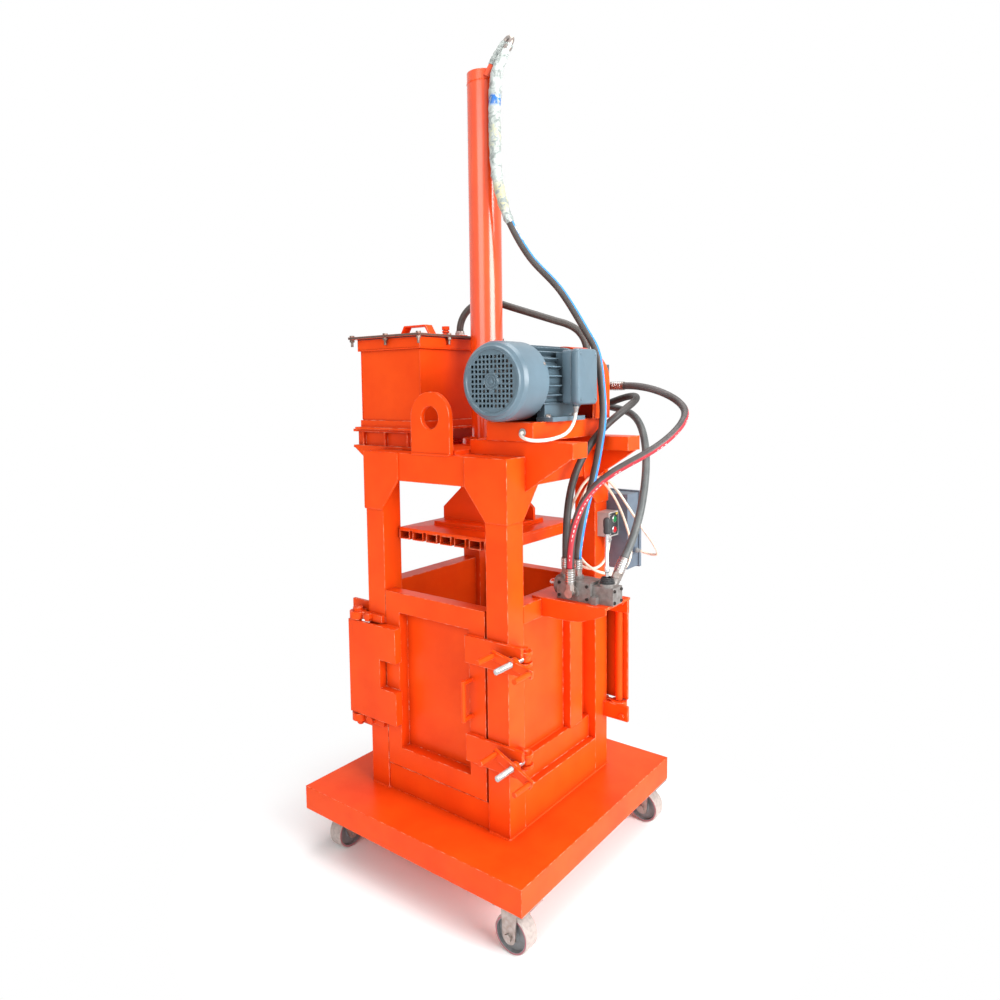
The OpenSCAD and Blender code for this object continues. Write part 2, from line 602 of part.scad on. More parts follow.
module rotor() {
  color([0.6, 0.62, 0.64]) union() {
    translate([mx, 110, mz]) rotate([90, 0, 0]) cylinder(h = 340, r = 14);
    translate([mx, -188, mz]) rotate([90, 0, 0]) cylinder(h = 40, r = 30);
    translate([mx, -186, mz]) rotate([90, 0, 0]) cylinder(h = 5, r = 82);
    for (i = [0 : 6]) translate([mx, 0, mz]) rotate([0, i * 360 / 7, 0]) slab([28, -222, -2], [82, -189, 2]);
    translate([mx, 142, mz]) rotate([90, 0, 0]) cylinder(h = 62, r = 40);
    translate([mx, 195, mz]) rotate([90, 0, 0]) cylinder(h = 60, r = 9);
  }
}

module coupling_guard() {
  color([0.95, 0.32, 0.1]) difference() {
    union() {
      translate([mx, 172, mz]) rotate([90, 0, 0]) cylinder(h = 92, r = 100, $fn = 64);
      slab([mx - 100, 80, base_hi], [mx + 100, 172, mz]);
    }
    translate([mx, 164, mz]) rotate([90, 0, 0]) cylinder(h = 92, r = 96, $fn = 64);
    slab([mx - 96, 72, base_hi - 1], [mx + 96, 164, mz]);
    translate([mx, 180, mz]) rotate([90, 0, 0]) cylinder(h = 30, r = 24);
  }
}

module gear_pump() {
  color([0.55, 0.56, 0.58]) difference() {
    union() {
      slab([mx - 45, 172, mz - 52], [mx + 45, 184, mz + 52]);
      slab([mx - 42, 183, mz - 46], [mx + 42, 252, mz + 46]);
      slab([mx - 45, 250, mz - 50], [mx + 45, 268, mz + 50]);
      translate([mx, 216, mz + 44]) cylinder(h = 12, r = 20);
      bar([mx + 40, 225, 1389], [mx + 50, 225, 1389], 18);
    }
    translate([mx, 200, mz]) rotate([90, 0, 0]) cylinder(h = 40, r = 9.06);
  }
}

// Oil tank on its channel stand
module tank_stand() {
  color([0.95, 0.32, 0.1]) for (y = [-1, 1]) translate([0, y * 145, 0]) union() {
    slab([-400, -30, frame_top], [-82, 30, frame_top + 8]);
    slab([-400, -30, frame_top + 50], [-82, 30, frame_top + 58]);
    slab([-392, y < 0 ? -16 : 8, frame_top + 7], [-82, y < 0 ? -8 : 16, frame_top + 51]);
    slab([-392, y < 0 ? -15 : -26, frame_top + 7], [-384, y < 0 ? 26 : 15, frame_top + 51]);
    for (x = [-360, -265, -170]) slab([x - 3, y < 0 ? -27 : 15, frame_top + 7], [x + 3, y < 0 ? -15 : 27, frame_top + 51]);
    plate_xz([[-fx - 4, frame_top + 1], [-fx - 4, frame_top - 92], [-396, frame_top + 1]], y < 0 ? -30 : 22, y < 0 ? -22 : 30);
  }
}

module tank_body() {
  z0 = frame_top + 58;
  d = tank_d / 2;
  color([0.95, 0.32, 0.1]) difference() {
    union() {
      slab([tank_x, -d, z0 + 6], [tank_x + tank_w, d, 1540]);
      slab([tank_x - 22, -d - 14, z0], [tank_x + tank_w + 10, d + 14, z0 + 7]);
      slab([tank_x - 5, -d - 5, z0 + 6], [tank_x + tank_w + 5, d + 5, z0 + 28]);
      slab([tank_x - 8, -d - 8, 1506], [tank_x + tank_w + 8, d + 8, 1540]);
      bar([tank_x + tank_w - 2, 140, 1440], [tank_x + tank_w + 12, 140, 1440], 22);
    }
    slab([tank_x + 4, -d + 4, z0 + 12], [tank_x + tank_w - 4, d - 4, 1541]);
  }
}

module tank_lid() {
  d = tank_d / 2;
  color([0.95, 0.32, 0.1]) union() {
    slab([tank_x - 30, -d - 26, 1540], [tank_x + tank_w + 20, d + 26, 1547]);
    translate([-290, -60, 0]) plate_xz([[0, 1546], [6, 1546], [26, 1577], [108, 1577], [128, 1546], [134, 1546],
      [112, 1582], [22, 1582]], -15, 15);
    translate([-155, 60, 1546]) cylinder(h = 8, r = 24);
  }
}

module tank_bolts() {
  d = tank_d / 2;
  color([0.78, 0.76, 0.7]) {
    for (x = [tank_x - 22, tank_x + tank_w / 2, tank_x + tank_w + 12]) for (s = [-1, 1]) translate([x, s * (d + 17), 0]) lid_bolt();
    for (x = [tank_x - 22, tank_x + tank_w + 16.5]) for (y = [-65, 65]) translate([x, y, 0]) lid_bolt();
  }
}

// A lid bolt's head above the lid, and its nut and end below
module lid_bolt() {
  translate([0, 0, 1547]) cylinder(h = 5, r = 7.5, $fn = 6);
  translate([0, 0, 1518]) cylinder(h = 22, r = 4);
  translate([0, 0, 1532]) cylinder(h = 8, r = 7.5, $fn = 6);
}

module breather() {
  color([0.93, 0.36, 0.14]) translate([-144, -20, 1547]) union() {
    cylinder(h = 8, r = 12);
    translate([0, 0, 7]) cylinder(h = 5, r = 8);
    translate([0, 0, 11]) cylinder(h = 5, r = 11);
    translate([0, 0, 15]) cylinder(h = 5, r = 8);
    translate([0, 0, 19]) cylinder(h = 11, r = 11.5);
  }
}

// Valve shelf, monoblock valve, lever and boot
module valve_shelf() {
  x1 = 460;
  color([0.95, 0.32, 0.1]) union() {
    slab([fx - 30, -105, wall_top], [x1, 30, shelf_z]);
    plate_xz([[fx, shelf_z - 1], [fx, wall_top - 46], [350, wall_top - 46], [390, wall_top - 40],
      [430, wall_top - 26], [x1, wall_top - 12], [x1, shelf_z - 1]], -105, -99);
    plate_xz([[fx, shelf_z - 1], [fx, wall_top - 46], [x1 - 40, shelf_z - 1]], 18, 24);
  }
}

module valve_body() {
  color([0.47, 0.45, 0.43]) difference() {
    union() {
      slab([300, vy - 34, shelf_z], [404, vy + 30, vz + 24]);
      bar([284, vy, vz], [302, vy, vz], 26);
      bar([262, vy, vz], [285, vy, vz], 9);
      slab([402, vy - 24, shelf_z], [466, vy + 26, vz + 16]);
      slab([408, vy - 40, shelf_z], [424, vy + 40, shelf_z + 20]);
      for (x = [308, 345]) translate([x, vy, vz + 22]) cylinder(h = 10, r = 16);
      bar([352, vy - 32, 842], [352, vy - 38, 842], 17);
      bar(return_lip - 27 * return_way, return_lip, 13);
      translate([436, vy - 2, vz + 14]) cylinder(h = 10, r = 22);
    }
    translate([436, vy - 2, vz + 8]) cylinder(h = 20, r = 16);
  }
}

module lever_boot() {
  color([0.12, 0.12, 0.13]) translate([436, vy - 2, vz + 24]) difference() {
    union() {
      cylinder(h = 5, r = 20);
      translate([0, 0, 4]) cylinder(h = 4, r = 16);
      translate([0, 0, 7]) cylinder(h = 5, r = 18);
      translate([0, 0, 11]) cylinder(h = 4, r = 14);
    }
    translate([0, 0, -1]) cylinder(h = 20, r = 11.5);
  }
}

module lever() {
  color([0.85, 0.86, 0.88]) translate([436, vy - 2, 0]) union() {
    translate([0, 0, vz + 22]) sphere(r = 8);
    bar([0, -10, vz + 22], [0, 10, vz + 22], 4);
    translate([0, 0, vz + 18]) cylinder(h = 120, r = 5);
    translate([0, 0, vz + 136]) cylinder(h = 62, r = 12);
  }
}

// Hose ends, adaptors and the tee at the cylinder top
module fittings() {
  color([0.78, 0.76, 0.7]) {
    swan_neck() union() {
      translate([0, 0, 20]) cylinder(h = 13, r = 11, $fn = 6);
      translate([0, 0, 32]) cylinder(h = 16, r = 10);
      translate([0, 0, 47]) cylinder(h = neck_rise - 47, r = 8);
      intersection() {
        translate([neck_bend, 0, neck_rise]) rotate([90, 0, 0]) rotate_extrude($fn = 48) translate([neck_bend, 0]) circle(r = 8);
        slab([-20, -20, neck_rise - 0.5], [60, 20, neck_rise + 40]);
      }
      translate([2 * neck_bend, 0, neck_rise - 15]) cylinder(h = 15, r = 8);
      translate([2 * neck_bend, 0, neck_rise - 58]) cylinder(h = 44, r = 12);
    }
    union() {
      bar([0, cylinder_d / 2 + 14, 1262], [0, cylinder_d / 2 + 26, 1262], 14, 6);
      bar([0, cylinder_d / 2 + 25, 1262], [0, 91.5, 1262], 12.5);
    }
    union() {
      bar([mx + 50, 225, 1389], [mx + 66, 225, 1389], 15, 6);
      bar([mx + 65, 225, 1389], [337.5, 225, 1389], 12.5);
    }
    union() {
      translate([mx - 2, 215, mz + 56]) cylinder(h = 14, r = 18, $fn = 6);
      translate([mx - 2, 215, mz + 69]) cylinder(h = 20, r = 13.5);
    }
    for (x = [308, 345]) union() {
      translate([x, vy, vz + 32]) cylinder(h = 16, r = 13, $fn = 6);
      translate([x, vy, vz + 47]) cylinder(h = 29, r = 12.5);
    }
    union() {
      bar([352, vy - 38, 842], [352, -112, 842], 12);
      bar([352, -101, 842], [352, -101, 868], 12, 6);
      bar([352, -101, 866], [352, -101, 908.5], 12.5);
    }
    union() {
      bar(return_lip, return_lip + 17 * return_way, 14, 6);
      bar(return_lip + 16 * return_way, return_end, 14);
    }
    union() {
      bar([tank_x + tank_w + 12, 140, 1440], [tank_x + tank_w + 28, 140, 1440], 19, 6);
      bar([tank_x + tank_w + 27, 140, 1440], [-62.6, 140, 1440], 14);
    }
    union() {
      translate([-155, 60, 1554]) cylinder(h = 8, r = 16, $fn = 6);
      translate([-155, 60, 1561]) cylinder(h = 6, r = 13.5);
    }
  }
}

// Push-button box on the rear right post, and the enclosure behind that post
module button_box() {
  color([0.72, 0.72, 0.7]) difference() {
    union() {
      slab([fx, 200, 936], [fx + 40, 258, 1010]);
      translate([285, 228, 926.5]) cylinder(h = 10, r = 7);
    }
    for (z = [956, 988]) bar([fx + 20, 229, z], [fx + 44, 229, z], 9.5);
  }
}

module start_button() {
  color([0.1, 0.5, 0.2]) bar([fx + 26, 229, 988], [fx + 45, 229, 988], 9);
}

module stop_button() {
  color([0.75, 0.08, 0.08]) bar([fx + 26, 229, 956], [fx + 45, 229, 956], 9);
}

module enclosure() {
  color([0.36, 0.4, 0.45]) union() {
    slab([150, fy + 4, 830], [330, fy + 76, 1060]);
    slab([146, fy + 75, 826], [334, fy + 88, 1064]);
    bar([329, 300, 884], [339.5, 300, 884], 9);
  }
}

// Hoses and cables
module cap_hose() {
  color([0.12, 0.13, 0.15]) hose(cap_route, cap_r, 2, 10, -neck_z, [0, 0, -1]);
}

module rod_hose() {
  color([0.12, 0.13, 0.15]) hose(rod_route, hose_d / 2, 2, 10, [0, 1, 0], [0, 0, -1]);
}

module pressure_hose() {
  color([0.12, 0.13, 0.15]) hose(pressure_route, hose_d / 2, 2, 10, [1, 0, 0], [0, 0, -1]);
}

module return_hose() {
  color([0.3, 0.31, 0.33]) hose(return_route, big_hose_d / 2, 2, 10, return_way, [-1, 0, 0]);
}

module suction_hose() {
  color([0.12, 0.13, 0.15]) hose(suction_route, big_hose_d / 2, 2, 10, [0, 0, 1], [0, 0, -1]);
}

module motor_lead() {
  color([0.9, 0.89, 0.85]) hose(motor_lead_route, 4.5, 2, 8, [0, 0, -1], [0, 1, 0]);
}

module switch_lead() {
  color([0.88, 0.83, 0.75]) hose(switch_lead_route, 4, 2, 8, [0, 0, -1], [-1, 0, 0]);
}

deck();
castor_brackets();
swivel_fork_fl();
swivel_fork_bl();
wheel_fl();
wheel_fr();
wheel_bl();
wheel_br();
posts();
top_beams();
gussets();
side_walls();
chamber_floor();
post_brackets();
pins_bolts();
front_door();
rear_door();
swing_bolt_fu();
swing_bolt_fl();
swing_bolt_ru();
swing_bolt_rl();
wing_nut_fu();
wing_nut_fl();
wing_nut_ru();
wing_nut_rl();
platen();
piston_rod();
ram_cylinder();
lifting_lugs();
rails();
motor_base();
motor_body();
fan_cover();
terminal_box();
rotor();
coupling_guard();
gear_pump();
tank_stand();
tank_body();
tank_lid();
tank_bolts();
breather();
valve_shelf();
valve_body();
lever_boot();
lever();
fittings();
button_box();
start_button();
stop_button();
enclosure();
cap_hose();
rod_hose();
pressure_hose();
return_hose();
suction_hose();
motor_lead();
switch_lead();
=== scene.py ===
import math

import bmesh
import bpy
import numpy as np
from mathutils import Matrix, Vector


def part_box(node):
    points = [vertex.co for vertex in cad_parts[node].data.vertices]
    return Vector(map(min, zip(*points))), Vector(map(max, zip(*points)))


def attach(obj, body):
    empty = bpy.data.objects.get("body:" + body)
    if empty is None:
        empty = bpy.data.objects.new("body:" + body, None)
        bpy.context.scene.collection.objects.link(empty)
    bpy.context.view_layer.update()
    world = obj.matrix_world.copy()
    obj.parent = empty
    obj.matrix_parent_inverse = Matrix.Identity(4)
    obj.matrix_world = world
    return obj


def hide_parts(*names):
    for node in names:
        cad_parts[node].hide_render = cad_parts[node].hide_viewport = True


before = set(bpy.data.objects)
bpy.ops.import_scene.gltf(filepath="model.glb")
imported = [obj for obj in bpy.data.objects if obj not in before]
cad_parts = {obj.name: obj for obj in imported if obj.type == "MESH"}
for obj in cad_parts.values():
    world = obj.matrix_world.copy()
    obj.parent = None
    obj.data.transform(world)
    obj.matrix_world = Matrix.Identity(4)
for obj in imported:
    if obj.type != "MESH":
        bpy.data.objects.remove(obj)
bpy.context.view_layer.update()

# The studio: a white floor that keeps the shadow of the press, a surround that is white to the camera and
# brighter from the right to everything else, three soft lamps, and a camera where the photographer stood.


def linear(code):
    """sRGB hex to linear light: the piecewise sRGB curve on each channel, with alpha 1."""
    c = np.array([int(code[i:i + 2], 16) for i in (1, 3, 5)]) / 255.0
    light = np.where(c <= 0.04045, c / 12.92, ((c + 0.055) / 1.055) ** 2.4)
    return (*light.tolist(), 1.0)


def add(tree, kind, at=None, feeds=None, **settings):
    """A new shader node: settings are its properties, at its socket values, feeds its incoming links,
    each from a socket or from the first output of a node."""
    n = tree.nodes.new("ShaderNode" + kind)
    for name, value in settings.items():
        setattr(n, name, value)
    for socket, value in (at or {}).items():
        n.inputs[socket].default_value = value
    for socket, source in (feeds or {}).items():
        tree.links.new(getattr(source, "outputs", [source])[0], n.inputs[socket])
    return n


def finish(name):
    """A new material, its node tree, and the object's own coordinates, which place its patterns."""
    m = bpy.data.materials.new(name)
    m.use_nodes = True
    m.node_tree.nodes.clear()
    return m, m.node_tree, add(m.node_tree, "TexCoord").outputs["Object"]


def seen_or_mirrored(tree):
    """One for rays from the camera and for those that a mirror or glass sends on, none for the rest."""
    rays = add(tree, "LightPath")
    looks = add(tree, "Math", feeds={0: rays.outputs["Is Camera Ray"], 1: rays.outputs["Is Glossy Ray"]},
                operation="ADD")
    return add(tree, "Math", feeds={0: looks, 1: rays.outputs["Is Transmission Ray"]}, operation="ADD",
               use_clamp=True)


scene = bpy.context.scene
scene.view_settings.view_transform = "Standard"

floor_paint, tree, spot = finish("floor_matt_paint")
floor_shader = add(tree, "BsdfPrincipled", {"Base Color": linear("#FFFFFF"), "Roughness": 0.9,
                                            "Specular IOR Level": 0.0})
level = add(tree, "VectorMath", {1: (1.0, 1.0, 0.0)}, {0: spot}, operation="MULTIPLY")
away = add(tree, "VectorMath", feeds={0: level}, operation="LENGTH")
fade = add(tree, "MapRange", {"From Min": 0.5, "From Max": 0.95}, {"Value": away.outputs["Value"]},
           interpolation_type="SMOOTHSTEP")
seen = seen_or_mirrored(tree)
bare = add(tree, "Math", feeds={0: fade, 1: seen}, operation="MULTIPLY")
white = add(tree, "Emission", {"Color": linear("#FFFFFF"), "Strength": 1.0})
sheet = add(tree, "MixShader", feeds={0: bare, 1: floor_shader, 2: white})
add(tree, "OutputMaterial", feeds={"Surface": sheet})
floor_mesh = bpy.data.meshes.new("floor")
floor_mesh.from_pydata([(-30, -30, 0), (30, -30, 0), (30, 30, 0), (-30, 30, 0)], [], [(0, 1, 2, 3)])
floor_mesh.materials.append(floor_paint)
floor = bpy.data.objects.new("floor", floor_mesh)
scene.collection.objects.link(floor)

world = bpy.data.worlds.new("white_surround")
scene.world = world
world.use_nodes = True
tree = world.node_tree
tree.nodes.clear()
way = add(tree, "TexCoord")
toward = add(tree, "VectorMath", {1: (0.86, 0.08, 0.5)}, {0: way.outputs["Generated"]},
             operation="DOT_PRODUCT")
glow = add(tree, "MapRange", {"From Min": -0.5, "From Max": 0.85, "To Min": 0.1, "To Max": 0.85},
           {"Value": toward.outputs["Value"]}, interpolation_type="SMOOTHSTEP")
seen = seen_or_mirrored(tree)
keep = add(tree, "Math", {0: 1.0}, {1: seen}, operation="SUBTRACT")
dimmed = add(tree, "Math", feeds={0: glow, 1: keep}, operation="MULTIPLY")
strength = add(tree, "Math", feeds={0: dimmed, 1: seen}, operation="ADD")
sky = add(tree, "Background", {"Color": linear("#FFFFFF")}, {"Strength": strength})
add(tree, "OutputWorld", feeds={"Surface": sky})

lamp_places = [("lamp_right", (3.4, -0.35, 2.0), 2.2, 170), ("lamp_front", (0.5, -3.8, 2.5), 2.4, 53),
               ("lamp_top", (0.2, 0.3, 4.8), 2.6, 106)]
lamp_target = np.array([0.0, 0.0, 1.0])
for name, place, side, watts in lamp_places:
    lamp = bpy.data.lights.new(name, "AREA")
    lamp.size = side
    lamp.energy = watts
    lamp_object = bpy.data.objects.new(name, lamp)
    back = np.array(place) - lamp_target
    back /= np.linalg.norm(back)
    across = np.cross((0, 0, 1), back)
    across /= np.linalg.norm(across)
    turn = np.eye(4)
    turn[:3] = np.column_stack([across, np.cross(back, across), back, place])
    lamp_object.matrix_world = Matrix(turn.tolist())
    scene.collection.objects.link(lamp_object)

heading, dip, roll = np.radians([37.51, 4.4, -0.68])
ahead = np.array([-math.sin(heading) * math.cos(dip), math.cos(heading) * math.cos(dip), -math.sin(dip)])
level_right = np.array([math.cos(heading), math.sin(heading), 0.0])
level_up = np.cross(level_right, ahead)
turn = np.eye(4)
turn[:3] = np.column_stack([level_right * math.cos(roll) + level_up * math.sin(roll),
                            level_up * math.cos(roll) - level_right * math.sin(roll), -ahead,
                            (1.39884, -1.7636, 1.3857)])
lens = bpy.data.cameras.new("photo_camera")
lens.sensor_width = 36.0
lens.lens = 27.027
lens.shift_y = -0.0538
camera = bpy.data.objects.new("photo_camera", lens)
camera.matrix_world = Matrix(turn.tolist())
scene.collection.objects.link(camera)
scene.camera = camera

# The deck: a folded steel plate on two cross channels, welded, then sprayed with gloss orange enamel.
# The same enamel covers the whole welded frame, so its material is made here.


def two_tones(tree, spot, size, low, high, one, other, **noise):
    """Two colours that drift into each other in clouds of a size in metres, and the noise they follow."""
    cloud = add(tree, "TexNoise", {"Scale": 1 / size, **noise}, {"Vector": spot})
    share = add(tree, "MapRange", {"From Min": low, "From Max": high}, {"Value": cloud})
    shade = add(tree, "MixRGB", {"Color1": linear(one), "Color2": linear(other)}, {"Fac": share})
    return shade, cloud


def sprayed_enamel(name, thin, full, bare, deep, gloss, edge_mm, shine):
    """Gloss enamel sprayed by hand: two shades drift over 180 mm clouds and a fine 4 mm orange peel bumps
    the coat. On sharp edges, found by comparing a rounded normal with the true one, the colour turns pale
    in
    chipped patches: partly paint worn thin, partly a painted edge highlight. In corners that ambient
    occlusion
    finds closer than 40 mm the colour darkens towards deep, a painted shade. Shine is how much it
    mirrors:
    low where it dried with a dull bloom."""
    m, tree, spot = finish(name)
    coat, cloud = two_tones(tree, spot, 0.18, 0.3, 0.7, thin, full, Detail=4.0, Roughness=0.6)
    # Painted shade: ambient occlusion darkens the coat towards deep in corners and between close parts.
    corner = add(tree, "AmbientOcclusion", {"Distance": 0.04}, samples=6)
    painted_corner_shade = add(tree, "MapRange", {"From Min": 0.92, "From Max": 0.3, "To Max": 0.75},
                  {"Value": corner.outputs["AO"]})
    coat = add(tree, "MixRGB", {"Color2": linear(deep)}, {"Fac": painted_corner_shade, "Color1": coat})
    # Pale chipped edges: partly paint worn thin, partly a painted edge highlight.
    rounded = add(tree, "Bevel", {"Radius": edge_mm / 1000}, samples=4)
    true = add(tree, "NewGeometry")
    same = add(tree, "VectorMath", feeds={0: rounded, 1: true.outputs["Normal"]}, operation="DOT_PRODUCT")
    chips = add(tree, "TexNoise", {"Scale": 1 / 0.02, "Detail": 3.0}, {"Vector": spot})
    edge = add(tree, "MapRange", {"From Min": 0.97, "From Max": 0.8}, {"Value": same.outputs["Value"]})
    worn = add(tree, "MapRange", {"From Min": 0.44, "From Max": 0.66}, {"Value": chips})
    worn_edge_and_painted_highlight = add(tree, "Math", feeds={0: edge, 1: worn}, operation="MULTIPLY")
    shade = add(tree, "MixRGB", {"Color2": linear(bare)}, {"Fac": worn_edge_and_painted_highlight, "Color1": coat})
    peel = add(tree, "TexNoise", {"Scale": 1 / 0.004, "Detail": 2.0}, {"Vector": spot})
    skin = add(tree, "Bump", {"Strength": 0.06, "Distance": 0.0004}, {"Height": peel, "Normal": rounded})
    dull = add(tree, "MapRange", {"To Min": gloss - 0.06, "To Max": gloss + 0.12}, {"Value": cloud})
    shader = add(tree, "BsdfPrincipled", {"IOR": 1.5, "Specular IOR Level": shine},
                 {"Base Color": shade, "Roughness": dull, "Normal": skin})
    add(tree, "OutputMaterial", feeds={"Surface": shader})
    return m


def wear(material, *names):
    """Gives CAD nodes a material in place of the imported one."""
    for name in names:
        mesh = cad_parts[name].data
        mesh.materials.clear()
        mesh.materials.append(material)


# For each enamel the third colour is the pale edge, partly wear and partly painted highlight, and the
# fourth is the painted shade in corners.
orange_enamel = sprayed_enamel("orange_enamel_sprayed", "#F25212", "#E5420B", "#FFC8A8", "#AE2A08", 0.32,
                               3.0, 0.13)
weld_enamel = sprayed_enamel("orange_enamel_over_weld", "#F25212", "#E5420B", "#F4622A", "#AE2A08", 0.32,
                             0.3, 0.13)
wear(orange_enamel, "deck", "posts", "top_beams", "gussets", "side_walls", "chamber_floor",
     "post_brackets", "front_door", "rear_door", "lifting_lugs", "rails", "motor_base", "coupling_guard",
     "tank_stand", "tank_body", "tank_lid", "breather", "valve_shelf", "pins_bolts", "wing_nut_fu",
     "wing_nut_fl", "wing_nut_ru", "wing_nut_rl")
wear(sprayed_enamel("orange_enamel_wet_gloss", "#F25212", "#E5420B", "#FFD2B8", "#AE2A08", 0.16, 2.0,
                    0.85), "ram_cylinder")

# The castors: pressed steel forks plated with zinc, and cast polyurethane wheels with a red core
# that shows at the rim; each wheel turns on a pin held by a nut.


def plated_steel(name, pale, yellow, rough, metal=1.0):
    """Zinc plate with a thin chromate film: metal whose tint wanders from white to yellow over 12 mm. A
    phosphated casting is duller, with metal well under 1."""
    m, tree, spot = finish(name)
    tint, film = two_tones(tree, spot, 0.012, 0.35, 0.68, pale, yellow, Detail=5.0)
    dull = add(tree, "MapRange", {"To Min": rough - 0.08, "To Max": rough + 0.14}, {"Value": film})
    rounded = add(tree, "Bevel", {"Radius": 0.0006}, samples=4)
    shader = add(tree, "BsdfPrincipled", {"Metallic": metal}, {"Base Color": tint, "Roughness": dull,
                                                            "Normal": rounded})
    add(tree, "OutputMaterial", feeds={"Surface": shader})
    return m


zinc_plate = plated_steel("zinc_plate_chromated", "#B0A9A5", "#9C8E86", 0.38)
wear(zinc_plate, "castor_brackets", "swivel_fork_fl", "swivel_fork_bl", "fittings", "rotor")
wear(plated_steel("zinc_plate_tarnished", "#8C7E76", "#6B584E", 0.5), "tank_bolts")


def cast_wheel(name, centre, axle):
    """Cast polyurethane on a core, told apart by distance from the axle: grey hub, red ring, pale
    tread."""
    m, tree, spot = finish(name)
    out = add(tree, "VectorMath", {1: centre}, {0: spot}, operation="SUBTRACT")
    flat = add(tree, "VectorMath", {1: [0.0 if a else 1.0 for a in axle]}, {0: out}, operation="MULTIPLY")
    radius = add(tree, "VectorMath", feeds={0: flat}, operation="LENGTH")
    bands = add(tree, "ValToRGB", feeds={"Fac": radius.outputs["Value"]})
    bands.color_ramp.interpolation = "CONSTANT"
    stops = [(0.0, "#8F9498"), (0.016, "#7A7C7E"), (0.0402, "#A5606A"), (0.0455, "#B0A49E"),
             (0.0492, "#B6AAA3")]
    for at, code in stops[2:]:
        bands.color_ramp.elements.new(at)
    for e, (at, code) in zip(bands.color_ramp.elements, stops):
        e.position = at
        e.color = linear(code)
    dirt = add(tree, "TexNoise", {"Scale": 1 / 0.009, "Detail": 6.0}, {"Vector": spot})
    soil = add(tree, "MapRange", {"From Min": 0.42, "From Max": 0.75, "To Max": 0.4}, {"Value": dirt})
    shade = add(tree, "MixRGB", {"Color2": linear("#5E564F")}, {"Fac": soil, "Color1": bands})
    skin = add(tree, "Bump", {"Strength": 0.15, "Distance": 0.0006}, {"Height": dirt})
    shader = add(tree, "BsdfPrincipled", {"Roughness": 0.45, "IOR": 1.5},
                 {"Base Color": shade, "Normal": skin})
    add(tree, "OutputMaterial", feeds={"Surface": shader})
    return m


for tag, centre, axle in (("fl", (-0.325, -0.309, 0.05), (1, 0, 0)),
                          ("bl", (-0.351, 0.335, 0.05), (0, 1, 0)),
                          ("fr", (0.348, -0.352, 0.05), (0, 1, 0)),
                          ("br", (0.348, 0.352, 0.05), (0, 1, 0))):
    wear(cast_wheel("polyurethane_wheel_" + tag, centre, axle), "wheel_" + tag)

# The weld beads on the frame: hand-run stick welds where the tubes and plates meet, under the enamel.
# Each bead is a row of overlapping round deposits, a few millimetres wide.

rng = np.random.default_rng(7)


def grid_faces(rows, cols):
    """Quads between rows of cols points, where each row is a closed ring."""
    r = np.arange(rows - 1)[:, None]
    c = np.arange(cols)[None, :]
    n = (c + 1) % cols
    corners = [r * cols + c, r * cols + n, (r + 1) * cols + n, (r + 1) * cols + c]
    return np.stack(corners, -1).reshape(-1, 4)


def square_to(d):
    """Two unit vectors square to each row of d and to each other, turning anticlockwise about it."""
    d = d / np.linalg.norm(d, axis=-1, keepdims=True)
    up = np.where(np.abs(d[..., 2:]) > 0.9, np.array([1.0, 0.0, 0.0]), np.array([0.0, 0.0, 1.0]))
    a = np.cross(up, d)
    a /= np.linalg.norm(a, axis=-1, keepdims=True)
    return a, np.cross(d, a)


def along(path):
    """Distance from the start at each point of a path."""
    return np.concatenate([[0.0], np.cumsum(np.linalg.norm(np.diff(path, axis=0), axis=1))])


def bead(path, r):
    """A weld along a path in metres: rings square to it, of radius r that swells every 2.6 r like laid
    coins, wanders a little, and closes to nothing at both ends."""
    p = np.asarray(path, float)
    run = along(p)
    t = np.linspace(0.0, run[-1], max(int(run[-1] / (0.8 * r)), 4))
    c = np.stack([np.interp(t, run, p[:, k]) for k in range(3)], 1)
    a, b = square_to(np.gradient(c, axis=0))
    swell = r * (0.84 + 0.22 * np.abs(np.sin(np.pi * t / (2.6 * r))) + 0.07 * rng.standard_normal(len(t)))
    swell[[0, -1]] = 0.0
    turn = np.linspace(0, 2 * np.pi, 6, endpoint=False)[None, :, None]
    points = c[:, None] + swell[:, None, None] * (np.cos(turn) * a[:, None] + np.sin(turn) * b[:, None])
    return points, grid_faces(len(t), 6)


def set_up(mesh, material, body, stands_for):
    """Puts a mesh with smooth faces and its material in the scene, riding on its body."""
    mesh.polygons.foreach_set("use_smooth", np.ones(len(mesh.polygons), bool))
    mesh.materials.append(material)
    ob = bpy.data.objects.new(mesh.name, mesh)
    scene.collection.objects.link(ob)
    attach(ob, body)
    if stands_for:
        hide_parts(*stands_for)
    return ob


def piece(name, parts, material, body, stands_for=(), sharp=40.0):
    """One mesh at the origin from several (points, faces) surfaces: poles and seams are merged, shading
    is smooth up to the sharp angle, and the piece rides on its body."""
    count, points, faces = 0, [], []
    for p, f in parts:
        points.append(p.reshape(-1, 3))
        faces.append(f + count)
        count += len(points[-1])
    mesh = bpy.data.meshes.new(name)
    mesh.from_pydata(np.vstack(points).tolist(), [], np.vstack(faces).tolist())
    work = bmesh.new()
    work.from_mesh(mesh)
    bmesh.ops.remove_doubles(work, verts=work.verts, dist=1e-6)
    bmesh.ops.dissolve_degenerate(work, edges=work.edges, dist=1e-7)
    bmesh.ops.recalc_face_normals(work, faces=work.faces)
    work.to_mesh(mesh)
    work.free()
    ob = set_up(mesh, material, body, stands_for)
    mesh.set_sharp_from_angle(angle=math.radians(sharp))
    return ob


def ring(centre, axis, r, n=48):
    """Points of a circle about an axis, closed."""
    a, b = square_to(np.array([axis], float))
    w = np.linspace(0, 2 * np.pi, n + 1)[:, None]
    return np.array(centre) + r * (np.cos(w) * a + np.sin(w) * b)


def weld_runs(*runs):
    """Several welds: each run is a radius and the points that its bead follows."""
    return [bead(path, r) for r, *path in runs]


